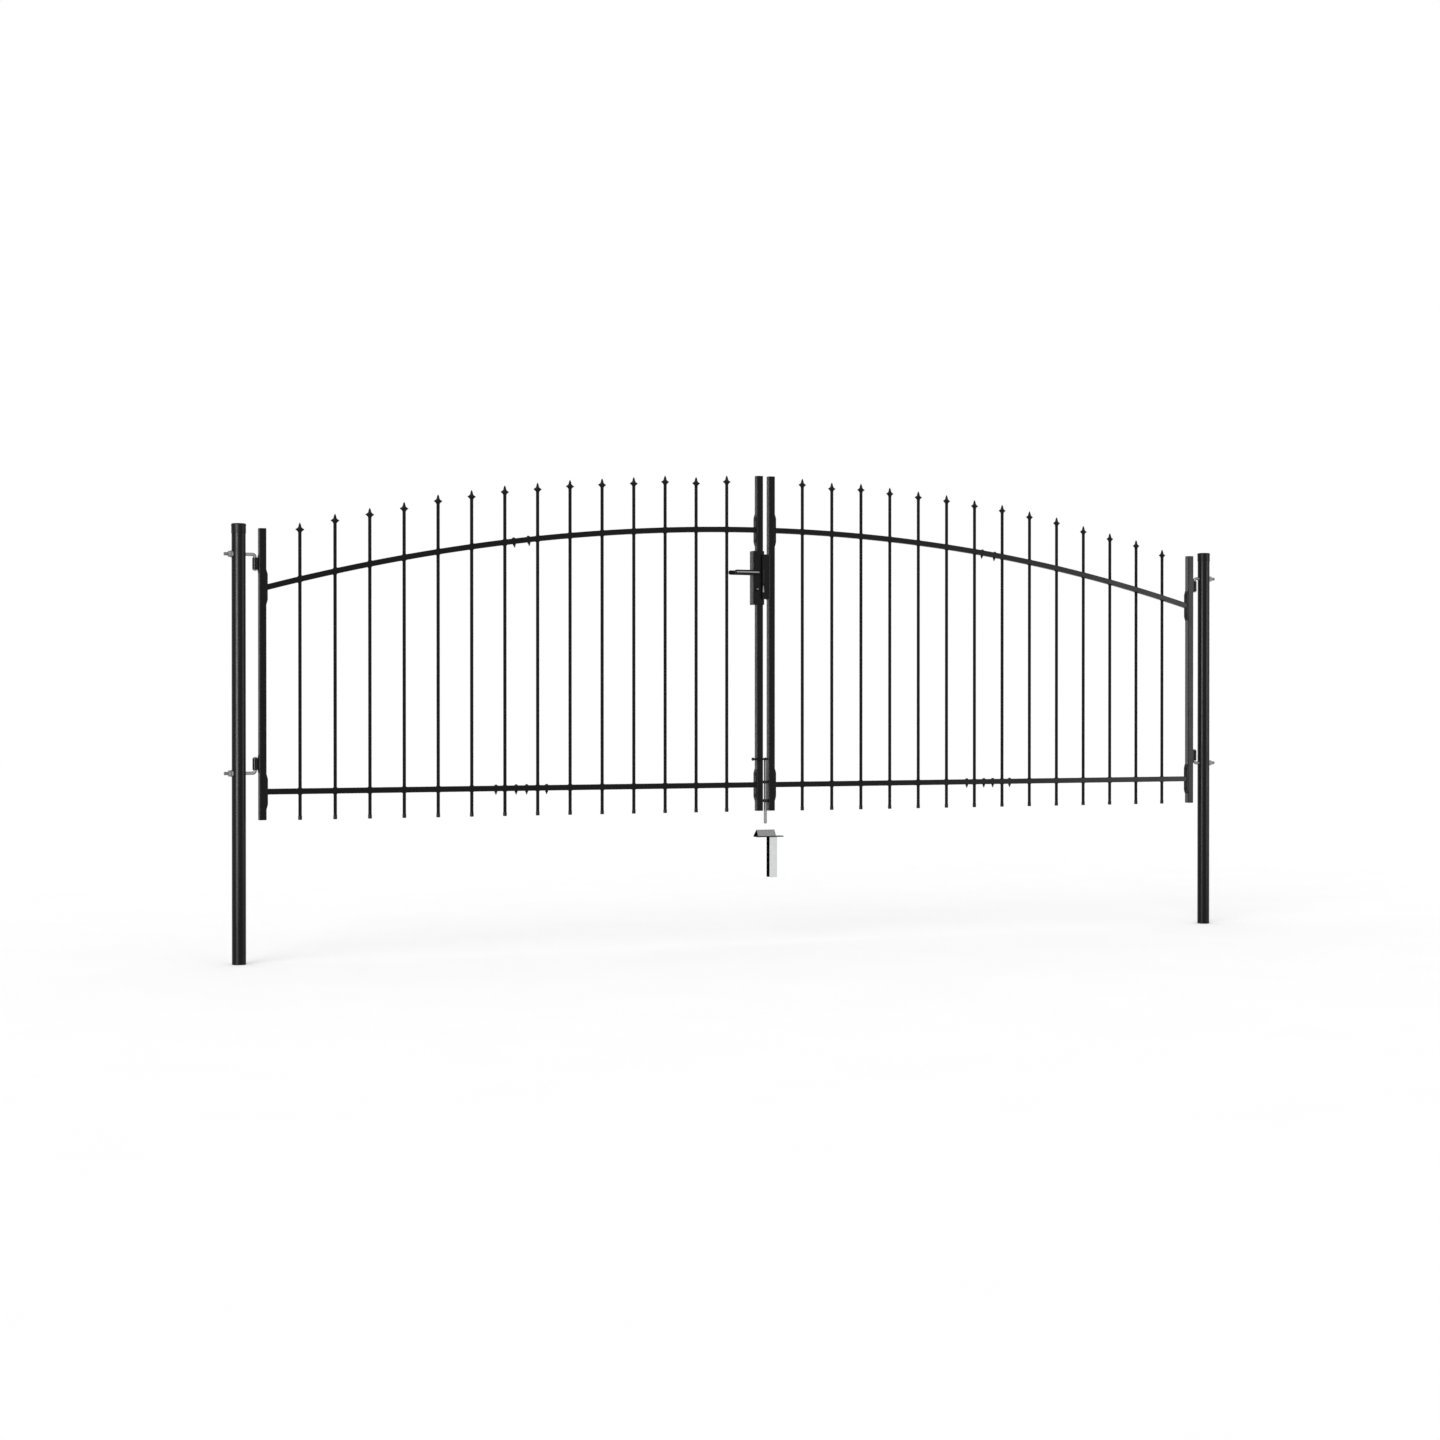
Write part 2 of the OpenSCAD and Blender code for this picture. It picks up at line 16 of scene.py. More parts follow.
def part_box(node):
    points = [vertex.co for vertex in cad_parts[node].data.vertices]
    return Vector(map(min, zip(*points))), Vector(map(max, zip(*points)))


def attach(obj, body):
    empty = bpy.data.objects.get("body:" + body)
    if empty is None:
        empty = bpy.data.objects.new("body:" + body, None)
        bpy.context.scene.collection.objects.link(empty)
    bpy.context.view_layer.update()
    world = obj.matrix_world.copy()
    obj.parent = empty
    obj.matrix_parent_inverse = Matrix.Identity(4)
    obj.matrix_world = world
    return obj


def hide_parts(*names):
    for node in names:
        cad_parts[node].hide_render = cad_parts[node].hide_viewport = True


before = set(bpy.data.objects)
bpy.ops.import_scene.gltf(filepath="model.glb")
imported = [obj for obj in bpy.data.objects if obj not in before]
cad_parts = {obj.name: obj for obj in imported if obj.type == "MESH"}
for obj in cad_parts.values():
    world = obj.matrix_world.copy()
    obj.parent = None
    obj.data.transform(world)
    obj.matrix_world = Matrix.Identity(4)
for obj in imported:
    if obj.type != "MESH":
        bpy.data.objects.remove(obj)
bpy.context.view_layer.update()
MM = 0.001
SIDES = ("left", "right")


# %% [markdown]
# ## Sizes
# A node's box says where the gate's tubes stand, so the main sizes are read from there. The leaf has its
# own coordinates: u runs from the hinge stile's centre towards the middle of the gate, y to the back and z
# up. The right leaf is the left one mirrored, so a leaf's piece is drawn once and placed by one of two
# matrices.

# %% Read the main sizes
def corners(node):
    """Lowest and highest corner of a CAD node, in millimetres."""
    low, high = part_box(node)
    return low / MM, high / MM


def middle(node):
    """Middle of a CAD node's box, in millimetres."""
    low, high = corners(node)
    return (low + high) / 2


def at(x, y, z, turn=None):
    """A place in millimetres, with an optional turn made first."""
    place = Matrix.Translation((x, y, z))
    return place @ turn if turn else place


POST_R = corners("left_post")[1].x
POST_TOP = corners("left_post")[1].z
POST_X = {side: middle(f"{side}_post").x for side in SIDES}
STILE_X = {side: middle(f"{side}_hinge_stile").x for side in SIDES}
MEETING_X = {side: middle(f"{side}_meeting_stile").x for side in SIDES}
STILE_W = corners("left_hinge_stile")[1].y * 2
HALF_STILE = STILE_W / 2
LEAF_FOOT = corners("left_hinge_stile")[0].z
HINGE_TOP = corners("left_hinge_stile")[1].z
MEETING_TOP = corners("left_meeting_stile")[1].z
LEAF_SPAN = MEETING_X["left"] - STILE_X["left"]
MIRROR = {"left": Matrix.Identity(4), "right": Matrix.Scale(-1, 4, (1, 0, 0))}
LEAF = {side: at(STILE_X[side], 0, 0, MIRROR[side]) for side in SIDES}
print(f"leaf span {LEAF_SPAN:.1f} mm, posts at {POST_X['left']:.0f} and {POST_X['right']:.0f} mm")

# %% [markdown]
# ## Shapes from rings
# Tube, rod, nut, plate and spear are all a row of rings with a skin over them, so one function makes them
# all. A ring with a single point is a tip. Pressed and sawn steel has no razor edges, so the skin can
# soften its sharp edges by a small bevel, which is also what catches the light.

# %% Rings and skins
SHARP = math.radians(40)
BAR_STEPS = 20
ROUND_STEPS = 24
FINE_STEPS = 32
SMALL_STEPS = 16
CORNER_STEPS = 4
CORNER_POINTS = CORNER_STEPS + 1


def circle(radius, height, steps):
    """A level ring of points round the z axis."""
    turns = [2 * math.pi * i / steps for i in range(steps)]
    return [Vector((radius * math.cos(a), radius * math.sin(a), height)) for a in turns]


def rounded_corners(points, radius):
    """An outline of flat points with each convex or hollow corner turned into an arc."""
    outline = []
    for i, corner in enumerate(points):
        corner = Vector(corner)
        before = (Vector(points[i - 1]) - corner).normalized()
        after = (Vector(points[(i + 1) % len(points)]) - corner).normalized()
        half = before.angle(after) / 2
        centre = corner + (before + after).normalized() * radius / math.sin(half)
        first = corner + before * radius / math.tan(half) - centre
        last = corner + after * radius / math.tan(half) - centre
        for k in range(CORNER_POINTS):
            outline.append(centre + first.slerp(last, k / CORNER_STEPS) * radius)
    return outline


def skin(rings, soft=0.0, closed=False):
    """A mesh through a row of rings. A closed row joins its last ring to its first, as in a bored barrel."""
    bm = bmesh.new()
    rows = [[bm.verts.new(p) for p in ring] for ring in rings]
    pairs = list(zip(rows, rows[1:]))
    if closed:
        pairs.append((rows[-1], rows[0]))
    for low, high in pairs:
        count = max(len(low), len(high))
        for i in range(count):
            j = (i + 1) % count
            bottom = [low[i], low[j]] if len(low) > 1 else low
            top = [high[j], high[i]] if len(high) > 1 else high
            bm.faces.new(bottom + top)
    if not closed:
        for end in (rows[0], rows[-1]):
            if len(end) > 2:
                bm.faces.new(end)
    bmesh.ops.recalc_face_normals(bm, faces=bm.faces)
    if soft:
        sharp = [e for e in bm.edges if e.calc_face_angle(0) > SHARP]
        bmesh.ops.bevel(
            bm, geom=sharp, offset=soft, segments=2, profile=0.5, affect="EDGES", clamp_overlap=True
        )
    mesh = bpy.data.meshes.new("shape")
    bm.to_mesh(mesh)
    bm.free()
    return mesh


print("rings and skins ready")


# %% [markdown]
# Most pieces need only a few kinds of skin: a turned shape, a flat outline raised to a prism, a plain round
# bar, a bored barrel and a box. Each is one short function on top of the skin.

# %% Simple shapes
ALONG_X = Matrix.Rotation(math.pi / 2, 4, "Y")
TO_FRONT = Matrix.Rotation(math.pi / 2, 4, "X")
UPSIDE_DOWN = Matrix.Rotation(math.pi, 4, "X")
IN_PLACE = Matrix.Identity(4)


def turned(profile, steps=ROUND_STEPS, closed=False):
    """A shape turned round the z axis from (radius, height) pairs."""
    rings = [circle(r, z, steps) if r else [Vector((0, 0, z))] for r, z in profile]
    return skin(rings, closed=closed)


def round_bar(radius, low, high, steps=ROUND_STEPS):
    """A plain round bar between two heights."""
    return turned([(0, low), (radius, low), (radius, high), (0, high)], steps)


def bored_barrel(bore, radius, half, edge):
    """A barrel with a bore and chamfered rims, as high above z 0 as below."""
    return turned([
        (bore, -half), (radius - edge, -half), (radius, -half + edge), (radius, half - edge),
        (radius - edge, half), (bore, half),
    ], FINE_STEPS, closed=True)


def prism(outline, low, high, soft=0.0):
    """A flat outline raised from one height to another."""
    return skin([[Vector((p[0], p[1], z)) for p in outline] for z in (low, high)], soft)


def rectangle(width, depth):
    """The four corners of a flat rectangle round the origin."""
    x, y = width / 2, depth / 2
    return [(-x, -y), (x, -y), (x, y), (-x, y)]


def block(low, high, soft=0.0):
    """A box between two corners."""
    outline = [(low.x, low.y), (high.x, low.y), (high.x, high.y), (low.x, high.y)]
    return prism(outline, low.z, high.z, soft)


def moved(shape, place):
    """The same shape at another place."""
    shape.transform(place)
    return shape


print("simple shapes ready")


# %% [markdown]
# ## From shapes to pieces
# A piece is several shapes gathered into one mesh. Gathering by code keeps twenty-eight bars and their
# welds in a few objects. Normals are weighted by face size, so a flat tube face stays flat right up to its
# soft corner.

# %% Gather and dress a piece
FINISH = {}
COATED = "powder_coated_steel"
PLASTIC = "black_plastic"
ZINC = "zinc_plated_steel"
SATIN = "satin_metal"
BLACK_PIECES = []


def carve(shape, cutter):
    """The shape with the cutter's volume taken out, for true holes."""
    body = bpy.data.objects.new("carved", shape)
    tool = bpy.data.objects.new("cutter", cutter)
    for made in (body, tool):
        bpy.context.scene.collection.objects.link(made)
    cut = body.modifiers.new("cut", "BOOLEAN")
    cut.object = tool
    cut.solver = "EXACT"
    evaluated = body.evaluated_get(bpy.context.evaluated_depsgraph_get())
    result = bpy.data.meshes.new_from_object(evaluated)
    for made in (body, tool):
        bpy.data.objects.remove(made)
    return result


def piece(name, parts, body, slot, *nodes):
    """Gathers (shape, place) pairs into one object that rides on a body and stands for CAD nodes."""
    bm = bmesh.new()
    for shape, place in parts:
        first = len(bm.verts)
        bm.from_mesh(shape)
        bm.verts.ensure_lookup_table()
        bmesh.ops.transform(bm, matrix=place, verts=bm.verts[first:])
    bmesh.ops.scale(bm, vec=(MM, MM, MM), verts=bm.verts)
    bmesh.ops.recalc_face_normals(bm, faces=bm.faces)
    mesh = bpy.data.meshes.new(name)
    bm.to_mesh(mesh)
    bm.free()
    mesh.shade_smooth()
    mesh.set_sharp_from_angle(angle=SHARP)
    mesh.materials.append(FINISH[slot])
    made = bpy.data.objects.new(name, mesh)
    bpy.context.scene.collection.objects.link(made)
    if slot in (COATED, PLASTIC):
        BLACK_PIECES.append(made)
    made.modifiers.new("flat_faces", "WEIGHTED_NORMAL").keep_sharp = True
    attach(made, body)
    if nodes:
        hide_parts(*nodes)
    print(f"{name}: {len(mesh.polygons)} faces on {body}")
    return made


def on_both_leaves(name, parts, slot, *nodes):
    """Makes a piece on each leaf from shapes that are placed in the leaf's own coordinates."""
    for side in SIDES:
        placed = [(shape, LEAF[side] @ place) for shape, place in parts]
        piece(f"{side}_{name}", placed, f"{side}_leaf", slot, *(f"{side}_{node}" for node in nodes))


# %% [markdown]
# ## Finishes
# Colours are written as sRGB hex, the way a paint chart gives them, and turned to linear light by one
# function. Patterns read the object's own coordinates in metres, so a grain of so many millimetres is one
# number. Every finish here ends alike: one pattern shifts the colour, and most add one for the roughness and
# one for the relief.

# %% Colour and node helpers
def linear(hex_colour):
    """An sRGB hex colour as linear RGBA."""
    values = [int(hex_colour[i:i + 2], 16) / 255 for i in (1, 3, 5)]
    return [v / 12.92 if v <= 0.04045 else ((v + 0.055) / 1.055) ** 2.4 for v in values] + [1.0]


def per_metre(size_mm):
    """The texture scale at which one feature of a pattern measures this many millimetres."""
    return 1 / (size_mm * MM)


def add_node(tree, kind, inputs=None, **settings):
    """Adds a node. An input given as an output socket is linked, any other is set."""
    made = tree.nodes.new(kind)
    for name, value in settings.items():
        setattr(made, name, value)
    for name, value in (inputs or {}).items():
        if isinstance(value, bpy.types.NodeSocket):
            tree.links.new(value, made.inputs[name])
        else:
            made.inputs[name].default_value = value
    return made


def blank_finish(name, *noises):
    """A new material, its coordinates and a noise pattern for each (size in mm, detail) pair."""
    material = bpy.data.materials.new(name)
    material.use_nodes = True
    tree = material.node_tree
    tree.nodes.clear()
    place = add_node(tree, "ShaderNodeTexCoord").outputs["Object"]
    patterns = []
    for size_mm, detail in noises:
        inputs = {"Vector": place, "Scale": per_metre(size_mm), "Detail": detail}
        patterns.append(add_node(tree, "ShaderNodeTexNoise", inputs).outputs["Fac"])
    return material, place, *patterns


def close_finish(material, coat, tone, gloss=None, relief=None):
    """Joins patterns to one shader, whose plain inputs are the coat's.

    Tone is a pattern and two colours, gloss a map to roughness, relief a pattern, a strength and a depth.
    """
    tree = material.node_tree
    pattern, dark, light = tone
    mixed = add_node(
        tree, "ShaderNodeMix", {0: pattern, 6: linear(dark), 7: linear(light)}, data_type="RGBA"
    )
    inputs = {"Base Color": mixed.outputs[2], **coat}
    if gloss:
        inputs["Roughness"] = add_node(tree, "ShaderNodeMapRange", gloss).outputs["Result"]
    if relief:
        pattern, strength, depth_mm = relief
        bump = add_node(
            tree, "ShaderNodeBump", {"Height": pattern, "Strength": strength, "Distance": depth_mm * MM}
        )
        inputs["Normal"] = bump.outputs["Normal"]
    shader = add_node(tree, "ShaderNodeBsdfPrincipled", inputs)
    add_node(tree, "ShaderNodeOutputMaterial", {"Surface": shader.outputs["BSDF"]})
    return material


print("colour and node helpers ready")


# %% [markdown]
# ### Black powder coat
# Polyester powder is sprayed on the steel and baked at about 180 degrees. It flows into a closed black skin
# with a soft gloss and a faint orange peel. A real peel is 1 to 2 mm wide, too fine to show at this
# distance, so it is drawn 5 mm wide and shallow. A slower drift in gloss breaks up the long tubes. The
# coat's specular level is low, because the pigment near the surface scatters most of what a clear lacquer
# would mirror.

# %% Make the powder coat
PEEL_MM = 5.0
DRIFT_MM = 90.0
SPECK_MM = 3.0

paint, _, peel, drift, speck = blank_finish(
    "black_powder_coat", (PEEL_MM, 2.0), (DRIFT_MM, 3.0), (SPECK_MM, 4.0)
)
FINISH[COATED] = close_finish(
    paint, {"IOR": 1.5, "Specular IOR Level": 0.11},
    tone=(speck, "#070708", "#0c0d0e"),
    gloss={"Value": drift, "From Min": 0.3, "From Max": 0.7, "To Min": 0.26, "To Max": 0.36},
    relief=(peel, 0.03, 0.4),
)
print("made", FINISH[COATED].name)

# %% [markdown]
# ### Moulded black polyethylene
# The caps, the plugs, the lever and the keep's rib come from an injection mould with a sparked, slightly
# matt face. The grain is about 0.8 mm wide and is drawn 2 mm wide so that it still shows.

# %% Make the plastic
GRAIN_MM = 2.0

plastic, _, grain = blank_finish("moulded_black_polyethylene", (GRAIN_MM, 3.0))
FINISH[PLASTIC] = close_finish(
    plastic, {"IOR": 1.51, "Specular IOR Level": 0.1},
    tone=(grain, "#070707", "#0f0f0f"),
    gloss={"Value": grain, "To Min": 0.32, "To Max": 0.46},
    relief=(grain, 0.08, 0.2),
)
print("made", FINISH[PLASTIC].name)

# %% [markdown]
# ### Bright zinc plate
# Hooks, nuts, rod and socket are zinc plated: a thin grey metal, a little uneven from the bath, with small
# crystals that catch the light each in its own way. The crystals are drawn 4 mm wide. The same finish is
# made a second time with lighter greys for the socket's anchor: a lit copy of the zinc that paints the
# anchor brighter than the rest.

# %% Make the zinc
SPANGLE_MM = 4.0
BATH_MM = 25.0


def zinc_plate(name, dark, light):
    """Zinc on steel, a grey metal with a fine spangle between two greys."""
    material, place, cloud = blank_finish(name, (BATH_MM, 4.0))
    tree = material.node_tree
    spangle = add_node(tree, "ShaderNodeTexVoronoi", {"Vector": place, "Scale": per_metre(SPANGLE_MM)})
    mottle = add_node(
        tree, "ShaderNodeMath", {0: spangle.outputs["Color"], 1: cloud}, operation="MULTIPLY"
    ).outputs["Value"]
    return close_finish(
        material, {"Metallic": 1.0},
        tone=(mottle, dark, light),
        gloss={"Value": mottle, "To Min": 0.32, "To Max": 0.5},
        relief=(cloud, 0.08, 0.2),
    )


FINISH[ZINC] = zinc_plate("bright_zinc_plate", "#858686", "#a9aaa9")
# A lit copy of the same zinc: lighter greys that paint the anchor brighter than the rest.
FINISH["dipped_zinc"] = zinc_plate("zinc_painted_lighter", "#cfd0d0", "#e6e7e6")
print("made", FINISH[ZINC].name, "and", FINISH["dipped_zinc"].name)

# %% [markdown]
# ### Painted shade
# A dark, dull steel colour that paints the shade inside the socket's folds and on its cut edges. It is drawn
# like a blue-black mill skin, with paler clouds about 12 mm wide.

# %% Make the painted shade
SHADE_CLOUD_MM = 12.0

# A near-black, dull finish used as painted shade in the socket's hollows and on its cut edges.
shade_paint, _, cloud = blank_finish("bare_mill_scale", (SHADE_CLOUD_MM, 4.0))
FINISH["mill_scale"] = close_finish(
    shade_paint, {"Specular IOR Level": 0.05},
    tone=(cloud, "#050506", "#0d0d0e"),
    gloss={"Value": cloud, "To Min": 0.6, "To Max": 0.85},
)
print("made", FINISH["mill_scale"].name)

# %% [markdown]
# ### Satin nickel
# The key core and the tongue are nickel plated and brushed along their length. The lever's strip and the
# keep's wedge take the same finish, as painted highlight and painted glint. The brushing lines are a few
# tenths of a millimetre apart. They are drawn 1.2 mm apart and twenty times as long, so the grain shows.

# %% Make the satin nickel
BRUSH_MM = 1.2
BRUSH_STRETCH = 20.0

nickel, place = blank_finish("satin_nickel")
drawn_out = add_node(
    nickel.node_tree, "ShaderNodeMapping", {"Vector": place, "Scale": (1 / BRUSH_STRETCH, 1.0, 1.0)}
)
brushed = add_node(
    nickel.node_tree, "ShaderNodeTexNoise",
    {"Vector": drawn_out.outputs["Vector"], "Scale": per_metre(BRUSH_MM), "Detail": 3.0},
).outputs["Fac"]
FINISH[SATIN] = close_finish(
    nickel, {"Metallic": 1.0},
    tone=(brushed, "#84837f", "#a5a4a0"),
    gloss={"Value": brushed, "To Min": 0.22, "To Max": 0.4},
    relief=(brushed, 0.15, 0.1),
)
print("made", FINISH[SATIN].name)

# %% [markdown]
# ## Posts and their caps
# A post is round tube, closed at the foot. A lathe shape does for it: straight, with a small rounding where
# the tube was sawn. The cap is a moulded hood: a skirt with a thin lip, a rounded shoulder and a low crown.

# %% Make the posts
POST_STEPS = 64
POST_FOOT_ROUND = 1.5
CAP_LIP = 1.0
CAP_SHOULDER = 4.5


def post_tube():
    """A round tube that stands on its closed foot."""
    edge = POST_FOOT_ROUND
    return turned([
        (0, 0), (POST_R - edge, 0), (POST_R - edge / 3, edge / 3), (POST_R, edge),
        (POST_R, POST_TOP / 2), (POST_R, POST_TOP), (0, POST_TOP),
    ], POST_STEPS)


def post_hood(skirt_z, radius, top_z):
    """A cap with a lip at the skirt's foot and a low domed crown."""
    flat_r = radius - CAP_SHOULDER
    shoulder_z = top_z - CAP_SHOULDER - CAP_LIP
    turns = [math.radians(15 * i) for i in range(6)]
    dome = [
        (flat_r + math.cos(a) * CAP_SHOULDER, shoulder_z + math.sin(a) * CAP_SHOULDER) for a in turns
    ]
    return turned([
        (0, skirt_z), (radius - CAP_LIP / 3, skirt_z), (radius, skirt_z + CAP_LIP / 3),
        (radius, skirt_z + 2 * CAP_LIP), (radius - CAP_LIP / 2, skirt_z + 2.5 * CAP_LIP),
        (radius - CAP_LIP / 2, shoulder_z - CAP_SHOULDER), (radius, shoulder_z - CAP_SHOULDER + CAP_LIP),
        *dome, (flat_r * 0.6, top_z - CAP_LIP * 0.35), (0, top_z),
    ], POST_STEPS)


for side in SIDES:
    cap_low, cap_high = corners(f"{side}_post_cap")
    hood = post_hood(cap_low.z, (cap_high.x - cap_low.x) / 2, cap_high.z)
    stand = at(POST_X[side], 0, 0)
    piece(f"{side}_post_tube", [(post_tube(), stand)], "posts", COATED, f"{side}_post")
    piece(f"{side}_post_hood", [(hood, stand)], "posts", PLASTIC, f"{side}_post_cap")

# %% [markdown]
# ## Stiles and their caps
# The stiles are 25 mm square tube with rolled corners. The left meeting stile carries the lock, so the
# spindle, the key cylinder and the latch tongue pass through it in real holes. Pillow-shaped caps close
# both ends.

# %% Make the stiles
STILE_CORNER = 2.5
SAWN_EDGE = 0.5
LOCK_SLACK = 0.6
SPINDLE_R = 4.0

lever_low, lever_high = corners("lock_lever")
cylinder_low, cylinder_high = corners("lock_cylinder")
tongue_low, tongue_high = corners("lock_latch")
case_low, case_high = corners("lock_case")
CYLINDER_R = (cylinder_high.x - cylinder_low.x) / 2
CYLINDER_Z = middle("lock_cylinder").z
LOCK_AXIS_X = middle("lock_cylinder").x
LEVER_Z = middle("lock_lever").z


def with_lock_holes(shape):
    """The shape carved for the spindle, the key cylinder and the tongue."""
    run = case_high.y * 1.5
    for radius, z in ((SPINDLE_R, LEVER_Z), (CYLINDER_R, CYLINDER_Z)):
        bore = round_bar(radius + LOCK_SLACK, -run, run)
        shape = carve(shape, moved(bore, at(LOCK_AXIS_X, 0, z, TO_FRONT)))
    slack = Vector((LOCK_SLACK, LOCK_SLACK, LOCK_SLACK))
    reach = Vector((tongue_high.x - tongue_low.x, 0, 0))
    return carve(shape, block(tongue_low - slack - reach / 2, tongue_high + slack))


def square_tube(top):
    """A stile from the leaf's foot to its top."""
    outline = rounded_corners(rectangle(STILE_W, STILE_W), STILE_CORNER)
    return prism(outline, LEAF_FOOT, top, SAWN_EDGE)


on_both_leaves("hinge_tube", [(square_tube(HINGE_TOP), IN_PLACE)], COATED, "hinge_stile")
for side in SIDES:
    tube = moved(square_tube(MEETING_TOP), at(MEETING_X[side], 0, 0))
    if side == "left":
        tube = with_lock_holes(tube)
    piece(f"{side}_meeting_tube", [(tube, IN_PLACE)], f"{side}_leaf", COATED, f"{side}_meeting_stile")


# %% Make the stiles' caps
def pillow_cap():
    """A cap's head: a thin rim, then a softly crowned face."""
    rings = []
    for inset, height in ((0.4, 0), (0, 0.4), (0, 2.0), (0.8, 2.7), (4, 3.0), (9, 3.2)):
        width = STILE_W - 2 * inset
        outline = rounded_corners(rectangle(width, width), STILE_CORNER)
        rings.append([Vector((p.x, p.y, height)) for p in outline])
    return skin(rings)


CAP_SHAPE = pillow_cap()
caps = []
for u, top in ((0, HINGE_TOP), (LEAF_SPAN, MEETING_TOP)):
    caps.append((CAP_SHAPE, at(u, 0, top)))
    caps.append((CAP_SHAPE, at(u, 0, LEAF_FOOT, UPSIDE_DOWN)))
on_both_leaves("pillow_caps", caps, PLASTIC, "stile_caps")

# %% [markdown]
# ## Rails under one arch
# Both top rails lie on one circle, through the crown over the middle of the gate and a foot at each hinge
# stile. A curve object could carry the rail, but rings at upright planes are simpler: they meet the upright
# end plates flush. Each leaf's rails are sawn in the middle, and the two halves meet at a splice with a
# hair-thin seam.

# %% Make the rails
RAIL_W = 20.0
RAIL_CORNER = 1.8
BOTTOM_RAIL_Z = 592.0
CROWN_DROP = 200.0
SPRING_DROP = 204.0
ARCH_CROWN_Z = MEETING_TOP - CROWN_DROP
ARCH_FOOT_Z = HINGE_TOP - SPRING_DROP
ARCH_MIDDLE_U = (MEETING_X["right"] + MEETING_X["left"]) / 2 - STILE_X["left"]
ARCH_SAG = ARCH_CROWN_Z - ARCH_FOOT_Z
ARCH_R = (ARCH_MIDDLE_U ** 2 + ARCH_SAG ** 2) / (2 * ARCH_SAG)
ARCH_STEPS = 24
END_PLATE_T = 4.5
SPLICE_U = LEAF_SPAN / 2
SPLICE_SEAM = 0.4
RAIL_START = HALF_STILE + END_PLATE_T
RAIL_RUNS = {
    "outer": (RAIL_START, SPLICE_U - SPLICE_SEAM),
    "inner": (SPLICE_U + SPLICE_SEAM, LEAF_SPAN - RAIL_START),
}


def arch_z(u):
    """Height of the arched rail's centre line."""
    return ARCH_CROWN_Z - ARCH_R + math.sqrt(ARCH_R ** 2 - (ARCH_MIDDLE_U - u) ** 2)


def arch_slope(u):
    """Slope of the arched rail, as an angle."""
    return math.asin((ARCH_MIDDLE_U - u) / ARCH_R)


def rail_ring(u, z, slope=0.0):
    """The rail's rounded square section in an upright plane."""
    outline = rounded_corners(rectangle(RAIL_W, RAIL_W), RAIL_CORNER)
    return [Vector((u, p.x, z + p.y / math.cos(slope))) for p in outline]


def straight_rail(start, end):
    """A length of the bottom rail."""
    return skin([rail_ring(u, BOTTOM_RAIL_Z) for u in (start, end)], SAWN_EDGE)


def arched_rail(start, end):
    """A length of the arched top rail."""
    stations = [start + (end - start) * i / ARCH_STEPS for i in range(ARCH_STEPS + 1)]
    return skin([rail_ring(u, arch_z(u), arch_slope(u)) for u in stations])


for half, (start, end) in RAIL_RUNS.items():
    rails = [(straight_rail(start, end), IN_PLACE), (arched_rail(start, end), IN_PLACE)]
    on_both_leaves(f"{half}_rails", rails, COATED, f"{half}_panel")
print(f"arch radius {ARCH_R:.0f} mm, rise {ARCH_SAG:.0f} mm")

# %% [markdown]
# ## Bars and spears
# Fourteen round bars cross both rails of a leaf and end in spears. Each is cut a few millimetres longer or
# shorter than the arch asks for, alike on both leaves. A spear is pressed from the bar's own end: the round
# opens into two thin side wings and then runs to a point. It is skinned over a few sections whose corners
# go from round to diamond, because a lathe would make the wings as thick as they are wide.

# %% Make a spear
SPEAR_RISE = 199.0
SPEAR_POINT = 14.0
SPEAR_NECK = 22.0
SPEAR_SECTIONS = (
    (-SPEAR_NECK, 6.0, 6.0, 2.0), (-19.5, 6.3, 6.2, 1.95), (-17.0, 8.0, 6.5, 1.6),
    (-14.0, 11.0, 6.7, 1.25), (-11.8, 14.4, 6.8, 1.08), (-10.8, 15.4, 6.8, 1.05),
    (-10.0, 15.6, 6.8, 1.05), (-9.2, 15.4, 6.8, 1.05), (-8.2, 14.0, 6.8, 1.08),
    (-5.5, 9.8, 6.7, 1.25), (-3.0, 6.9, 6.4, 1.5), (0.0, 5.2, 5.9, 1.8),
    (3.5, 4.7, 5.2, 1.75), (7.0, 3.8, 4.2, 1.7), (10.5, 2.4, 2.7, 1.6), (13.0, 0.9, 1.0, 1.6),
)


def spear_ring(height, half_width, half_depth, power):
    """A section that is round at power 2 and a diamond at power 1."""
    ring = []
    for p in circle(1, height, ROUND_STEPS):
        reach = (abs(p.x) ** power + abs(p.y) ** power) ** (-1 / power)
        ring.append(Vector((half_width * reach * p.x, half_depth * reach * p.y, height)))
    return ring


def spear():
    """A winged point: neck, two side wings, a waist and a blunt tip. Height 0 is the waist."""
    return skin([spear_ring(*s) for s in SPEAR_SECTIONS] + [[Vector((0, 0, SPEAR_POINT))]])


SPEAR_SHAPE = spear()
print("spear:", len(SPEAR_SHAPE.polygons), "faces")

# %% Make the bars
BAR_R = 6.0
BAR_COUNT = 14
BAR_MARGIN = 131.5
BAR_PITCH = (LEAF_SPAN - 2 * BAR_MARGIN) / (BAR_COUNT - 1)
BAR_TRIMS = (-3, 1.5, -2, -2.5, 4.5, 3.5, 5.5, 3, 3.5, 1, 0.5, 3, -3.5, 3)
BAR_GROUPS = {"outer": range(BAR_COUNT // 2), "inner": range(BAR_COUNT // 2, BAR_COUNT)}


def bar_u(i):
    """Place of a bar along its leaf."""
    return BAR_MARGIN + i * BAR_PITCH


def waist_z(i):
    """Height of a spear's waist."""
    return arch_z(bar_u(i)) + SPEAR_RISE + BAR_TRIMS[i] - SPEAR_POINT


def bar(top):
    """A round bar from the leaf's foot to its spear's neck."""
    return turned([
        (0, LEAF_FOOT), (BAR_R, LEAF_FOOT), (BAR_R, BOTTOM_RAIL_Z), (BAR_R, top), (0, top),
    ], BAR_STEPS)


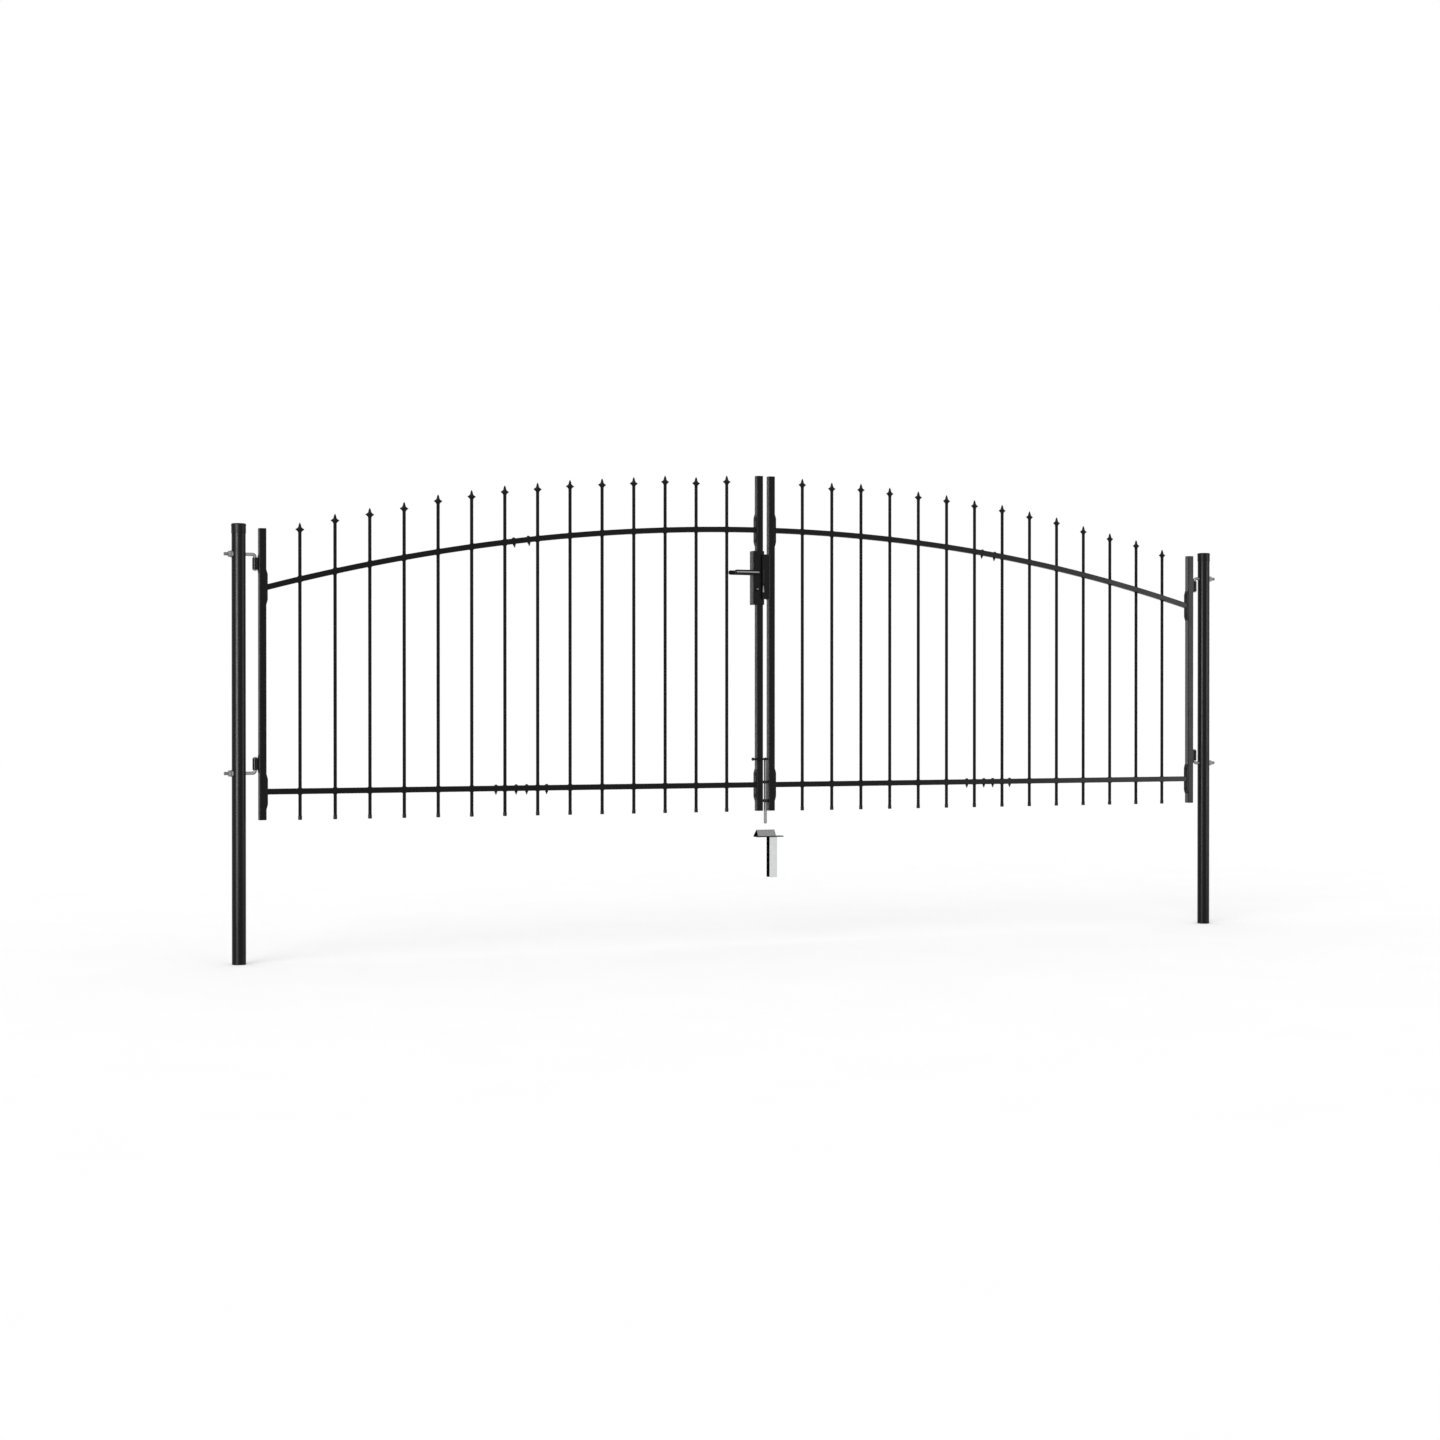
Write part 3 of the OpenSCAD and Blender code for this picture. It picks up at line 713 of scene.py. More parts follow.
def weld_bead():
    """The fillet that a welder leaves where a bar leaves a rail."""
    outline = [(5.7, -0.6), (8.9, -0.6), (8.4, 0.7), (7.2, 1.8), (5.7, 2.6)]
    return turned(outline, BAR_STEPS, closed=True)


BEAD_SHAPE = weld_bead()
for half, numbers in BAR_GROUPS.items():
    bars = []
    for i in numbers:
        u = bar_u(i)
        tilt = Matrix.Rotation(-arch_slope(u), 4, "Y")
        rail_half = RAIL_W / 2 / math.cos(arch_slope(u))
        bars += [
            (bar(waist_z(i) - SPEAR_NECK), at(u, 0, 0)),
            (SPEAR_SHAPE, at(u, 0, waist_z(i))),
            (BEAD_SHAPE, at(u, 0, BOTTOM_RAIL_Z + RAIL_W / 2)),
            (BEAD_SHAPE, at(u, 0, BOTTOM_RAIL_Z - RAIL_W / 2, UPSIDE_DOWN)),
            (BEAD_SHAPE, at(u, 0, arch_z(u) + rail_half, tilt)),
            (BEAD_SHAPE, at(u, 0, arch_z(u) - rail_half, tilt @ UPSIDE_DOWN)),
        ]
    on_both_leaves(f"{half}_bars", bars, COATED)

# %% [markdown]
# ## Plugs, end plates and splices
# The details that say how the gate goes together: plugs on the bars' open feet, tapered plates that bolt
# each rail to its stile, and sleeves inside the rails with bolts from above and nuts below.

# %% Make the bar plugs
PLUG_R = 6.75
PLUG_H = 10.0
PLUG_FLOOR = 4.5


def bar_plug():
    """A cup pushed on a bar's foot."""
    floor = -PLUG_FLOOR
    return turned([
        (0, floor), (PLUG_R - 1.1, floor), (PLUG_R - 0.2, floor + 0.9), (PLUG_R, floor + 2.2),
        (PLUG_R, PLUG_H - 0.8), (PLUG_R - 0.5, PLUG_H), (0, PLUG_H),
    ], BAR_STEPS)


PLUG_SHAPE = bar_plug()
plugs = [(PLUG_SHAPE, at(bar_u(i), 0, LEAF_FOOT)) for i in range(BAR_COUNT)]
on_both_leaves("bar_plugs", plugs, PLASTIC)

# %% Make the end plates
END_PLATE_H = 120.0
END_PLATE_TAPER = 16.0
PLATE_EDGE = 0.7
PLATE_BOLT_RISE = 40.0
HEAD_WASHER_T = 1.2
HEAD_R_AND_H = {"plate": (4.6, 0.9), "splice": (5.0, 3.0), "case": (3.0, 1.6), "keep": (3.2, 1.8)}


def dome_bolt(radius, height):
    """A low round head on a thin washer, standing on z 0."""
    washer = HEAD_WASHER_T
    return turned([
        (0, -1.0), (radius * 1.35, -1.0), (radius * 1.35, washer * 0.75), (radius * 1.28, washer),
        (radius, washer), (radius, washer + height * 0.35), (radius * 0.86, washer + height * 0.72),
        (radius * 0.5, washer + height * 0.94), (0, washer + height),
    ], BAR_STEPS)


def end_plate():
    """A flat bar with tapered ends, bent edge softened, that stands on the stile's face at u 0."""
    half = END_PLATE_H / 2
    flat = half - END_PLATE_TAPER
    outline = [(0, -half), (END_PLATE_T, -flat), (END_PLATE_T, flat), (0, half)]
    return moved(prism(outline, -HALF_STILE, HALF_STILE, PLATE_EDGE), TO_FRONT)


PLATE_SHAPE = end_plate()
HEAD = {use: dome_bolt(*size) for use, size in HEAD_R_AND_H.items()}
FAR_U = LEAF_SPAN - HALF_STILE
plates = []
for u, way, rail_z in (
    (HALF_STILE, 1, arch_z(RAIL_START)), (HALF_STILE, 1, BOTTOM_RAIL_Z),
    (FAR_U, -1, arch_z(LEAF_SPAN - RAIL_START)), (FAR_U, -1, BOTTOM_RAIL_Z),
):
    seat = at(u, 0, rail_z, Matrix.Scale(way, 4, (1, 0, 0)))
    plates.append((PLATE_SHAPE, seat))
    for rise in (-PLATE_BOLT_RISE, PLATE_BOLT_RISE):
        plates.append((HEAD["plate"], seat @ at(END_PLATE_T, 0, rise, ALONG_X)))
on_both_leaves("rail_plates", plates, COATED, "end_plates")

# %% Make the splices
SLEEVE_W = 14.0
SLEEVE_LEN = 84.0
TOP_SPLICE_BOLTS = (-28.0, 28.0)
BOTTOM_SPLICE_BOLTS = (-96.0, -20.0, 20.0, 96.0)
SPLICE_NUT_FLATS = 10.0
SPLICE_NUT_T = 5.5
SPLICE_NUT_EDGE = 0.6
SEAT_LAP = 0.5


def hexagon(flats):
    """The six corners of a nut."""
    return circle(flats / math.sqrt(3), 0, 6)


SLEEVE_REACH = Vector((SLEEVE_LEN, SLEEVE_W, SLEEVE_W)) / 2
SLEEVE_SHAPE = block(-SLEEVE_REACH, SLEEVE_REACH, SAWN_EDGE)
SPLICE_NUT = prism(hexagon(SPLICE_NUT_FLATS), -SPLICE_NUT_T, SEAT_LAP, SPLICE_NUT_EDGE)
SPLICE_END = turned([(0, -13), (1.2, -13), (3.0, -8.5), (3.0, 0), (0, 0)], SMALL_STEPS)
lay = Matrix.Rotation(-arch_slope(SPLICE_U), 4, "Y")
splices = []
for z, turn, offsets in (
    (BOTTOM_RAIL_Z, IN_PLACE, BOTTOM_SPLICE_BOLTS), (arch_z(SPLICE_U), lay, TOP_SPLICE_BOLTS),
):
    seat = at(SPLICE_U, 0, z, turn)
    splices.append((SLEEVE_SHAPE, seat))
    for offset in offsets:
        below = seat @ at(offset, 0, -RAIL_W / 2)
        splices += [
            (HEAD["splice"], seat @ at(offset, 0, RAIL_W / 2)), (SPLICE_NUT, below), (SPLICE_END, below),
        ]
on_both_leaves("splices", splices, COATED, "splice_sleeves")

# %% [markdown]
# ## Hinges
# A threaded hook passes right through the post, with a nut and a saddle washer outside, and bends into an
# upright pin. The upper pin points down and the lower one up, so the leaf can't be lifted off. An eye on a
# flared bracket, welded to the hinge stile's side, turns on each pin.

# %% Make the hinge hooks
HOOK_R = 6.0
HOOK_BEND = 9.0
HOOK_TAIL = 27.0
THREAD_PITCH = 1.75
THREAD_DEPTH = 0.7
HINGE_OFFSET = 25.0
PIN_CHAMFER = 1.5
BEND_STEPS = 6
PIN_WAY = {"upper": -1, "lower": 1}
ROD_Z = {}


def sweep(path):
    """A round rod along a flat path in the x-z plane, from (point, radius) pairs."""
    points = [p for p, radius in path]
    rings = []
    for i, (p, radius) in enumerate(path):
        ahead = points[min(i + 1, len(path) - 1)] - points[max(i - 1, 0)]
        side_way = Vector((-ahead.z, 0, ahead.x)).normalized()
        rings.append([p + side_way * c.x + Vector((0, c.y, 0)) for c in circle(radius, 0, BAR_STEPS)])
    return skin(rings)


def quarter_bend(radius):
    """Points of a bend from level to upright, as (x, z) pairs from its start."""
    turns = [math.pi / 2 * k / BEND_STEPS for k in range(BEND_STEPS + 1)]
    return [(radius * math.sin(a), radius - radius * math.cos(a)) for a in turns]


def hook(tail_u, plain_u, pin_length):
    """The rod's thread, its plain run, the bend and the pin, with the pin up. The pin's axis is at u 0."""
    path = []
    for k in range(int((plain_u - tail_u) / THREAD_PITCH)):
        for share, radius in ((0.0, HOOK_R - THREAD_DEPTH), (0.3, HOOK_R), (0.7, HOOK_R)):
            path.append((Vector((tail_u + (k + share) * THREAD_PITCH, 0, 0)), radius))
    path.append((Vector((plain_u, 0, 0)), HOOK_R))
    path += [(Vector((x - HOOK_BEND, 0, z)), HOOK_R) for x, z in quarter_bend(HOOK_BEND)]
    path.append((Vector((0, 0, pin_length - PIN_CHAMFER)), HOOK_R))
    path.append((Vector((0, 0, pin_length)), HOOK_R - PIN_CHAMFER))
    return sweep(path)


for level, way in PIN_WAY.items():
    low, high = corners(f"left_{level}_hook")
    ROD_Z[level] = low.z + HOOK_R if way > 0 else high.z - HOOK_R
    stand = at(-HINGE_OFFSET, 0, ROD_Z[level], Matrix.Scale(way, 4, (0, 0, 1)))
    for side in SIDES:
        post_u = HINGE_OFFSET - abs(STILE_X[side] - POST_X[side])
        shape = hook(post_u - POST_R - HOOK_TAIL, post_u + POST_R, high.z - low.z - HOOK_R)
        hook_parts = [(shape, LEAF[side] @ stand)]
        piece(f"{side}_{level}_hinge_hook", hook_parts, "posts", ZINC, f"{side}_{level}_hook")

# %% Make the nuts and saddle washers
NUT_FLATS = 19.0
NUT_T = 10.0
NUT_EDGE = 1.1
WASHER_R = 12.5
WASHER_T = 3.0
WASHER_EDGE = 0.6


def saddle_washer():
    """A round washer, hollowed to sit on the post. Its outer face is at x 0, the post to its right."""
    shape = moved(turned([
        (0, 0), (WASHER_R - WASHER_EDGE, 0), (WASHER_R, WASHER_EDGE), (WASHER_R, WASHER_T), (0, WASHER_T),
    ], FINE_STEPS), ALONG_X)
    for v in shape.vertices:
        if v.co.x > WASHER_T / 2:
            v.co.x = WASHER_T + POST_R - math.sqrt(POST_R ** 2 - v.co.y ** 2)
    return shape


NUT_SHAPE = prism(hexagon(NUT_FLATS), 0, NUT_T, NUT_EDGE)
WASHER_SHAPE = saddle_washer()
for side in SIDES:
    nuts = []
    for rod_z in ROD_Z.values():
        seat = at(POST_X[side], 0, rod_z, MIRROR[side]) @ at(-POST_R - WASHER_T, 0, 0)
        nuts += [(WASHER_SHAPE, seat), (NUT_SHAPE, seat @ at(-NUT_T, 0, 0, ALONG_X))]
    piece(f"{side}_hinge_nuts", nuts, "posts", ZINC, f"{side}_hook_nuts")

# %% Make the hinge eyes
EYE_R = 9.0
EYE_H = 41.0
EYE_GAP = 5.0
EYE_ROOT_H = 77.0
FOLD_EDGE = 0.8
PIN_SLACK = 0.35
WELD_LAP = 0.3


def hinge_eye():
    """A barrel and the flared web behind it, in leaf coordinates about the eye's middle."""
    half = EYE_H / 2
    root = EYE_ROOT_H / 2
    bore = HOOK_R + PIN_SLACK
    back = SAWN_EDGE - HALF_STILE
    front = -HINGE_OFFSET + bore + WELD_LAP
    flare = -HINGE_OFFSET + EYE_R
    outline = [(back, -root), (back, root), (flare, half), (front, half), (front, -half), (flare, -half)]
    web = prism(outline, -EYE_R * 0.8, EYE_R * 0.8, FOLD_EDGE)
    return [(bored_barrel(bore, EYE_R, half, FOLD_EDGE), at(-HINGE_OFFSET, 0, 0)), (web, TO_FRONT)]


for level, way in PIN_WAY.items():
    eye_z = ROD_Z[level] + way * (HOOK_R + EYE_GAP + EYE_H / 2)
    eye = [(shape, at(0, 0, eye_z, place)) for shape, place in hinge_eye()]
    on_both_leaves(f"{level}_hinge_eye", eye, COATED, f"{level}_eye")

# %% [markdown]
# ## Lock
# A flat steel case grips the left meeting stile. It is a softened box with real holes, and each of its faces
# has two cover screws, a thin rose under the lever and the end of the key cylinder. The lever is a straight
# rounded black bar on both sides, with a thin satin strip on its face that paints the highlight along the
# lever. The tongue has a sloped nose. On the other leaf a folded keep laps in front of the case and stops
# the leaf, and a small satin wedge on it paints a glint.

# %% Make the lock case
CASE_SOFT = 2.2
ROSE_R = 12.5
ROSE_T = 1.2
CASE_SCREW_INSET = 14.0
FRONT_AND_BACK = ((case_low.y, TO_FRONT), (case_high.y, Matrix.Rotation(math.pi, 4, "Z") @ TO_FRONT))


def lock_case():
    """The case, carved for the stile, the spindle, the cylinder and the tongue."""
    stile_low = Vector((MEETING_X["left"] - HALF_STILE, -HALF_STILE, case_low.z - STILE_W))
    stile_high = Vector((MEETING_X["left"] + HALF_STILE, HALF_STILE, case_high.z + STILE_W))
    return with_lock_holes(carve(block(case_low, case_high, CASE_SOFT), block(stile_low, stile_high)))


def rose():
    """A flat ring with a soft rim round the spindle, standing on z 0."""
    inner = SPINDLE_R + LOCK_SLACK
    rim = ROSE_T * 0.4
    return turned([
        (inner, -0.3), (ROSE_R, -0.3), (ROSE_R, ROSE_T - rim), (ROSE_R - rim, ROSE_T), (inner, ROSE_T),
    ], FINE_STEPS, closed=True)


case = [(lock_case(), IN_PLACE)]
screws = []
for y, facing in FRONT_AND_BACK:
    case.append((rose(), at(LOCK_AXIS_X, y, LEVER_Z, facing)))
    for z in (case_low.z + CASE_SCREW_INSET, case_high.z - CASE_SCREW_INSET):
        screws.append((HEAD["case"], at(LOCK_AXIS_X, y, z, facing)))
piece("lock_box", case, "left_leaf", COATED, "lock_case")
piece("lock_box_screws", screws, "left_leaf", COATED)

# %% Make the key cylinder
KEYWAY_W = 2.2
CORE_R = 3.4
CORE_SLACK = 0.4
CORE_SINK = 1.2
CORE_DIP = 0.3
CORE_FOOT = 2.0
CORE_EDGE = 0.2
CYLINDER_RIM = 0.8
CYLINDER_STAND = cylinder_high.y - case_high.y


def cylinder_barrel():
    """The barrel through the lock, rimmed and sunk for a core at both ends. Its middle is z 0."""
    end = cylinder_high.y
    seat_r = CORE_R + CORE_SLACK
    half = [
        (CYLINDER_R, end - CYLINDER_RIM), (CYLINDER_R - CYLINDER_RIM, end), (seat_r, end),
        (seat_r, end - CORE_SINK), (0, end - CORE_SINK),
    ]
    return turned([(r, -z) for r, z in reversed(half)] + half, FINE_STEPS)


def half_core():
    """Half of the turning core, cut along the keyway."""
    cut = KEYWAY_W / 2
    half_turn = [math.pi * (i / 10 - 0.5) for i in range(11)]
    outline = [(cut + (CORE_R - cut) * math.cos(a), CORE_R * math.sin(a)) for a in half_turn]
    return prism(outline, CYLINDER_STAND - CORE_FOOT, CYLINDER_STAND - CORE_DIP, CORE_EDGE)


cores = []
for y, facing in FRONT_AND_BACK:
    seat = at(LOCK_AXIS_X, y, CYLINDER_Z, facing)
    cores += [(half_core(), seat), (half_core(), seat @ Matrix.Rotation(math.pi, 4, "Z"))]
barrel = [(cylinder_barrel(), at(LOCK_AXIS_X, 0, CYLINDER_Z, TO_FRONT))]
piece("key_cylinder", barrel, "left_leaf", COATED, "lock_cylinder")
piece("key_core", cores, "left_leaf", SATIN)

# %% Make the lever
GRIP_H = 17.0
GRIP_T = 11.0
NECK_R = 5.0
NECK_WAIST = 0.8
GRIP_STAND = lever_high.y - GRIP_T / 2
GRIP_REACH = LOCK_AXIS_X - lever_low.x
GRIP_STEPS = 28
GRIP_SECTIONS = (
    (-GRIP_REACH, 0.35), (-GRIP_REACH + 0.8, 0.62), (-GRIP_REACH + 2.2, 0.82), (-GRIP_REACH + 4.5, 0.95),
    (-GRIP_REACH + 8, 1.0), (-NECK_R, 1.0), (NECK_R - 4.5, 0.97), (NECK_R - 1.8, 0.84), (NECK_R - 0.4, 0.6),
)


def grip():
    """A straight bar with a stadium section and rounded ends, along -x from its neck."""
    rings = []
    for x, share in GRIP_SECTIONS:
        straight = (GRIP_H - GRIP_T) / 2 * share
        ring = circle(GRIP_T / 2 * share, 0, GRIP_STEPS)
        rings.append([Vector((x, p.x, p.y + math.copysign(straight, p.y))) for p in ring])
    return skin(rings)


def lever_neck():
    """The round neck between the case and the grip, standing on z 0."""
    stand = GRIP_STAND - case_high.y
    waist = NECK_R - NECK_WAIST
    return turned([(0, 1.5), (NECK_R, 1.5), (waist, 3.0), (waist, stand), (0, stand)], FINE_STEPS)


GRIP_SHAPE = grip()
spindle = round_bar(SPINDLE_R, -GRIP_STAND, GRIP_STAND)
handle = [(spindle, at(LOCK_AXIS_X, 0, LEVER_Z, TO_FRONT))]
for y, facing in FRONT_AND_BACK:
    handle.append((lever_neck(), at(LOCK_AXIS_X, y, LEVER_Z, facing)))
    handle.append((GRIP_SHAPE, at(LOCK_AXIS_X, math.copysign(GRIP_STAND, y), LEVER_Z)))
piece("lever_handle", handle, "lever", PLASTIC, "lock_lever")

# %% Make the lever's painted highlight strips
HIGHLIGHT_STRIP_H = 5.0
HIGHLIGHT_STRIP_INSET = 5.0
HIGHLIGHT_STRIP_T = 0.8
SHEET_EDGE = 0.3


def lever_highlight_strip():
    """A thin satin strip with round ends, proud of the grip's face by half its thickness, that paints the
    highlight along the lever.
    """
    length = GRIP_REACH + NECK_R - 2 * HIGHLIGHT_STRIP_INSET
    outline = rounded_corners(rectangle(length, HIGHLIGHT_STRIP_H), HIGHLIGHT_STRIP_H * 0.4)
    return prism(outline, -HIGHLIGHT_STRIP_T / 2, HIGHLIGHT_STRIP_T / 2, SHEET_EDGE)


HIGHLIGHT_STRIP_X = LOCK_AXIS_X + (NECK_R - GRIP_REACH) / 2
highlight_strips = [
    (lever_highlight_strip(), at(HIGHLIGHT_STRIP_X, math.copysign(GRIP_STAND + GRIP_T / 2, y), LEVER_Z, facing))
    for y, facing in FRONT_AND_BACK
]
# The satin strips paint the highlight that runs along the black lever.
piece("lever_highlight_strips", highlight_strips, "lever", SATIN)

# %% Make the latch tongue
TONGUE_SLOPE_SHARE = 0.55


def latch_tongue():
    """A bar with a nose that slopes on the closing side."""
    nose = tongue_low.x + (tongue_high.x - tongue_low.x) * TONGUE_SLOPE_SHARE
    outline = [
        (tongue_low.x, tongue_low.y), (tongue_high.x, tongue_low.y), (tongue_high.x, tongue_low.y / 3),
        (nose, tongue_high.y), (tongue_low.x, tongue_high.y),
    ]
    return prism(outline, tongue_low.z, tongue_high.z, PLATE_EDGE)


piece("latch_tongue", [(latch_tongue(), IN_PLACE)], "latch", SATIN, "lock_latch")

# %% Make the keep
keep_low, keep_high = corners("lock_keep")
KEEP_T = 3.0
KEEP_BEND = 5.0
KEEP_SCREW_INSET = 11.0
DETAIL_X = keep_low.x + 5.5


def keep_plate():
    """A strip folded along its height: a side plate on the stile and a lip in front of the lock."""
    low_x, low_y, high_x, high_y = keep_low.x, keep_low.y, keep_high.x, keep_high.y
    x, y = high_x - KEEP_BEND, low_y + KEEP_BEND
    outer, inner = (
        [(x + across, y - radius + rise) for across, rise in quarter_bend(radius)]
        for radius in (KEEP_BEND, KEEP_BEND - KEEP_T)
    )
    outline = [
        (low_x, low_y), *outer, (high_x, high_y),
        (high_x - KEEP_T, high_y), *reversed(inner), (low_x, low_y + KEEP_T),
    ]
    return prism(outline, keep_low.z, keep_high.z, FOLD_EDGE)


screws = [
    (HEAD["keep"], at(DETAIL_X, keep_low.y, z, TO_FRONT))
    for z in (keep_low.z + KEEP_SCREW_INSET, keep_high.z - KEEP_SCREW_INSET)
]
piece("keep_plate", [(keep_plate(), IN_PLACE)], "right_leaf", COATED, "lock_keep")
piece("keep_screws", screws, "right_leaf", COATED)

# %% Make the keep's rib and the wedge that paints its glint
BUMPER_R = 2.6
BUMPER_LOW_Z = 1345.0
BUMPER_HIGH_Z = 1405.0
WEDGE_X = keep_low.x + 3.5
WEDGE_LOW_Z = 1314.0
WEDGE_HIGH_Z = 1338.0
WEDGE_LOW_HALF = 3.2
WEDGE_HIGH_HALF = 1.2
WEDGE_T = 2.0


def bumper():
    """A half-round rib with rounded ends, lying on the lip's front."""
    rounding = ((0.0, 0.3), (1.5, 0.8), (4.0, 1.0))
    sections = [(BUMPER_LOW_Z + rise, share) for rise, share in rounding]
    sections += [(BUMPER_HIGH_Z - rise, share) for rise, share in reversed(rounding)]
    return skin([circle(BUMPER_R * share, z, SMALL_STEPS) for z, share in sections])


def glint_wedge():
    """A small bright satin wedge, narrow at the top, that paints a glint on the keep's lip."""
    outline = [
        (-WEDGE_LOW_HALF, WEDGE_LOW_Z), (WEDGE_LOW_HALF, WEDGE_LOW_Z),
        (WEDGE_HIGH_HALF, WEDGE_HIGH_Z), (-WEDGE_HIGH_HALF, WEDGE_HIGH_Z),
    ]
    return moved(prism(outline, -SEAT_LAP, WEDGE_T, SAWN_EDGE), TO_FRONT)


piece("keep_bumper", [(bumper(), at(DETAIL_X, keep_low.y, 0))], "right_leaf", PLASTIC)
# The satin wedge paints the glint on the keep's lip.
piece("keep_glint_wedge", [(glint_wedge(), at(WEDGE_X, keep_low.y, 0))], "right_leaf", SATIN)

# %% [markdown]
# ## Drop bolt
# A zinc-plated rod slides in two rings on the right meeting stile. Its black handle is bent forward and to
# the left and ends in a knob. The rod and its handle move together, so both ride on the bolt's body.

# %% Make the drop bolt
bolt_low, bolt_high = corners("drop_bolt")
DROP_R = 6.0
BOLT_X = bolt_high.x - DROP_R
HANDLE_R = 4.0
HANDLE_Y = bolt_low.y + DROP_R
HANDLE_Z = bolt_high.z - DROP_R
HANDLE_BEND = 7.0
KNOB_R = 6.0
KNOB_LEN = 8.0


def drop_rod():
    """The rod, tapered at its foot so that it finds the socket."""
    foot = bolt_low.z
    return turned([
        (0, foot), (DROP_R - 2.2, foot), (DROP_R - 0.4, foot + 3.5), (DROP_R, foot + 5), (DROP_R, HANDLE_Z),
        (DROP_R * 0.87, HANDLE_Z + DROP_R * 0.5), (DROP_R * 0.5, HANDLE_Z + DROP_R * 0.87),
        (0, HANDLE_Z + DROP_R),
    ])


def bolt_handle():
    """A bar bent in one level: out of the rod to the front, then to the left. Drawn upright, then laid."""
    bend_z = -HANDLE_Y - HANDLE_BEND
    points = [(0, 0)] + [(z, bend_z + x) for x, z in quarter_bend(HANDLE_BEND)]
    points.append((BOLT_X - bolt_low.x - KNOB_LEN, -HANDLE_Y))
    shape = sweep([(Vector((x, 0, z)), HANDLE_R) for x, z in points])
    return moved(shape, TO_FRONT @ MIRROR["right"])


def handle_knob():
    """A short rounded knob along x."""
    return moved(turned([
        (0, 0), (KNOB_R - 1.2, 0), (KNOB_R, 1.2), (KNOB_R, KNOB_LEN - 2), (KNOB_R - 0.8, KNOB_LEN - 0.6),
        (KNOB_R - 2.4, KNOB_LEN), (0, KNOB_LEN),
    ]), ALONG_X)


handle = [(bolt_handle(), at(BOLT_X, 0, HANDLE_Z)), (handle_knob(), at(bolt_low.x, HANDLE_Y, HANDLE_Z))]
piece("drop_rod", [(drop_rod(), at(BOLT_X, 0, 0))], "bolt", ZINC, "drop_bolt")
piece("drop_handle", handle, "bolt", COATED)

# %% Make the bolt's guides
guide_low, guide_high = corners("bolt_guides")
GUIDE_R = 9.0
GUIDE_H = 11.0
GUIDE_EDGE = 0.7


def guide_ring():
    """A ring round the rod, welded to the stile by a short root, in two shapes about its own middle."""
    half = GUIDE_H / 2
    bore = DROP_R + PIN_SLACK
    root_low = Vector((bore + WELD_LAP, -DROP_R, -half))
    root_high = Vector((guide_high.x - BOLT_X, DROP_R, half))
    return bored_barrel(bore, GUIDE_R, half, GUIDE_EDGE), block(root_low, root_high, FOLD_EDGE)


guides = [
    (shape, at(BOLT_X, 0, z))
    for z in (guide_low.z + GUIDE_H / 2, guide_high.z - GUIDE_H / 2) for shape in guide_ring()
]
piece("rod_guides", guides, "right_leaf", COATED, "bolt_guides")

# %% [markdown]
# ## Ground socket
# The socket stays in the drive: a sheet folded into a low ridge on a plate, with a hole for the rod in its
# back slope and a channel below it as an anchor. Bends have a radius, and the plate's free end has rounded
# corners. The inner faces of the folds and the cut edges get painted shade: faces are picked by place and
# given a second, dark finish.

# %% Make the socket's ridge
ramp_low, ramp_high = corners("socket_ramp")
plate_low, plate_high = corners("socket_plate")
RAMP_T = 2.0
RAMP_BEND = 2.6
RAMP_RISE = ramp_high.z - ramp_low.z
SOCKET_BORE_R = 10.0
RIDGE_Y = -SOCKET_BORE_R - 0.5


def with_socket_bore(shape):
    """The shape carved for the rod's way through the back slope and the plate."""
    bore = round_bar(SOCKET_BORE_R, plate_low.z - RAMP_T, ramp_high.z + RAMP_T, FINE_STEPS)
    return carve(shape, moved(bore, at(BOLT_X, 0, 0)))


def ramp():
    """A sheet folded to a ridge along x, steep in front and open at both ends."""
    front, back = ramp_low.y, ramp_high.y
    in_front = front + RAMP_T * math.hypot(RIDGE_Y - front, RAMP_RISE) / RAMP_RISE
    in_back = back - RAMP_T * math.hypot(back - RIDGE_Y, RAMP_RISE) / RAMP_RISE
    share = (in_back - in_front) / (back - front)
    in_ridge = (in_front + (RIDGE_Y - front) * share, RAMP_RISE * share)
    ridge = rounded_corners([(front, 0), (back, 0), (RIDGE_Y, RAMP_RISE)], RAMP_BEND)
    hollow = rounded_corners([(in_front, 0), (in_back, 0), in_ridge], RAMP_BEND - RAMP_T)
    outline = [
        (front, 0), (in_front, 0), *reversed(hollow[2 * CORNER_POINTS:]), (in_back, 0), (back, 0),
        *ridge[2 * CORNER_POINTS:],
    ]
    return with_socket_bore(skin([
        [Vector((x, p[0], ramp_low.z + p[1])) for p in outline] for x in (ramp_low.x, ramp_high.x)
    ], SHEET_EDGE))


def paint_hollow_shade(made, is_shaded):
    """Paints shade on some faces by giving them the dark second finish. The test gets a face's middle in
    millimetres and its normal.
    """
    made.data.materials.append(FINISH["mill_scale"])
    for face in made.data.polygons:
        if is_shaded(face.center / MM, face.normal):
            face.material_index = 1


def shaded_ramp_faces(p, normal):
    """True under the sheet's two slopes and on its cut ends, where shade is painted."""
    lean = RIDGE_Y - ramp_low.y
    across = (p.y - ramp_low.y) * RAMP_RISE - (p.z - ramp_low.z) * lean
    depth = across / math.hypot(lean, RAMP_RISE)
    return abs(normal.x) > 0.5 or (depth > RAMP_T * 0.9 and normal.z < 0)


ridge = piece("socket_ridge", [(ramp(), IN_PLACE)], "posts", ZINC, "socket_ramp")
# The ridge's hollow underside and its cut ends get painted shade.
paint_hollow_shade(ridge, shaded_ramp_faces)

# %% Make the socket's plate and anchor
anchor_low, anchor_high = corners("socket_anchor")
PLATE_CORNER = 9.0
ANCHOR_WALL = 2.0
ANCHOR_BEND = 3.0


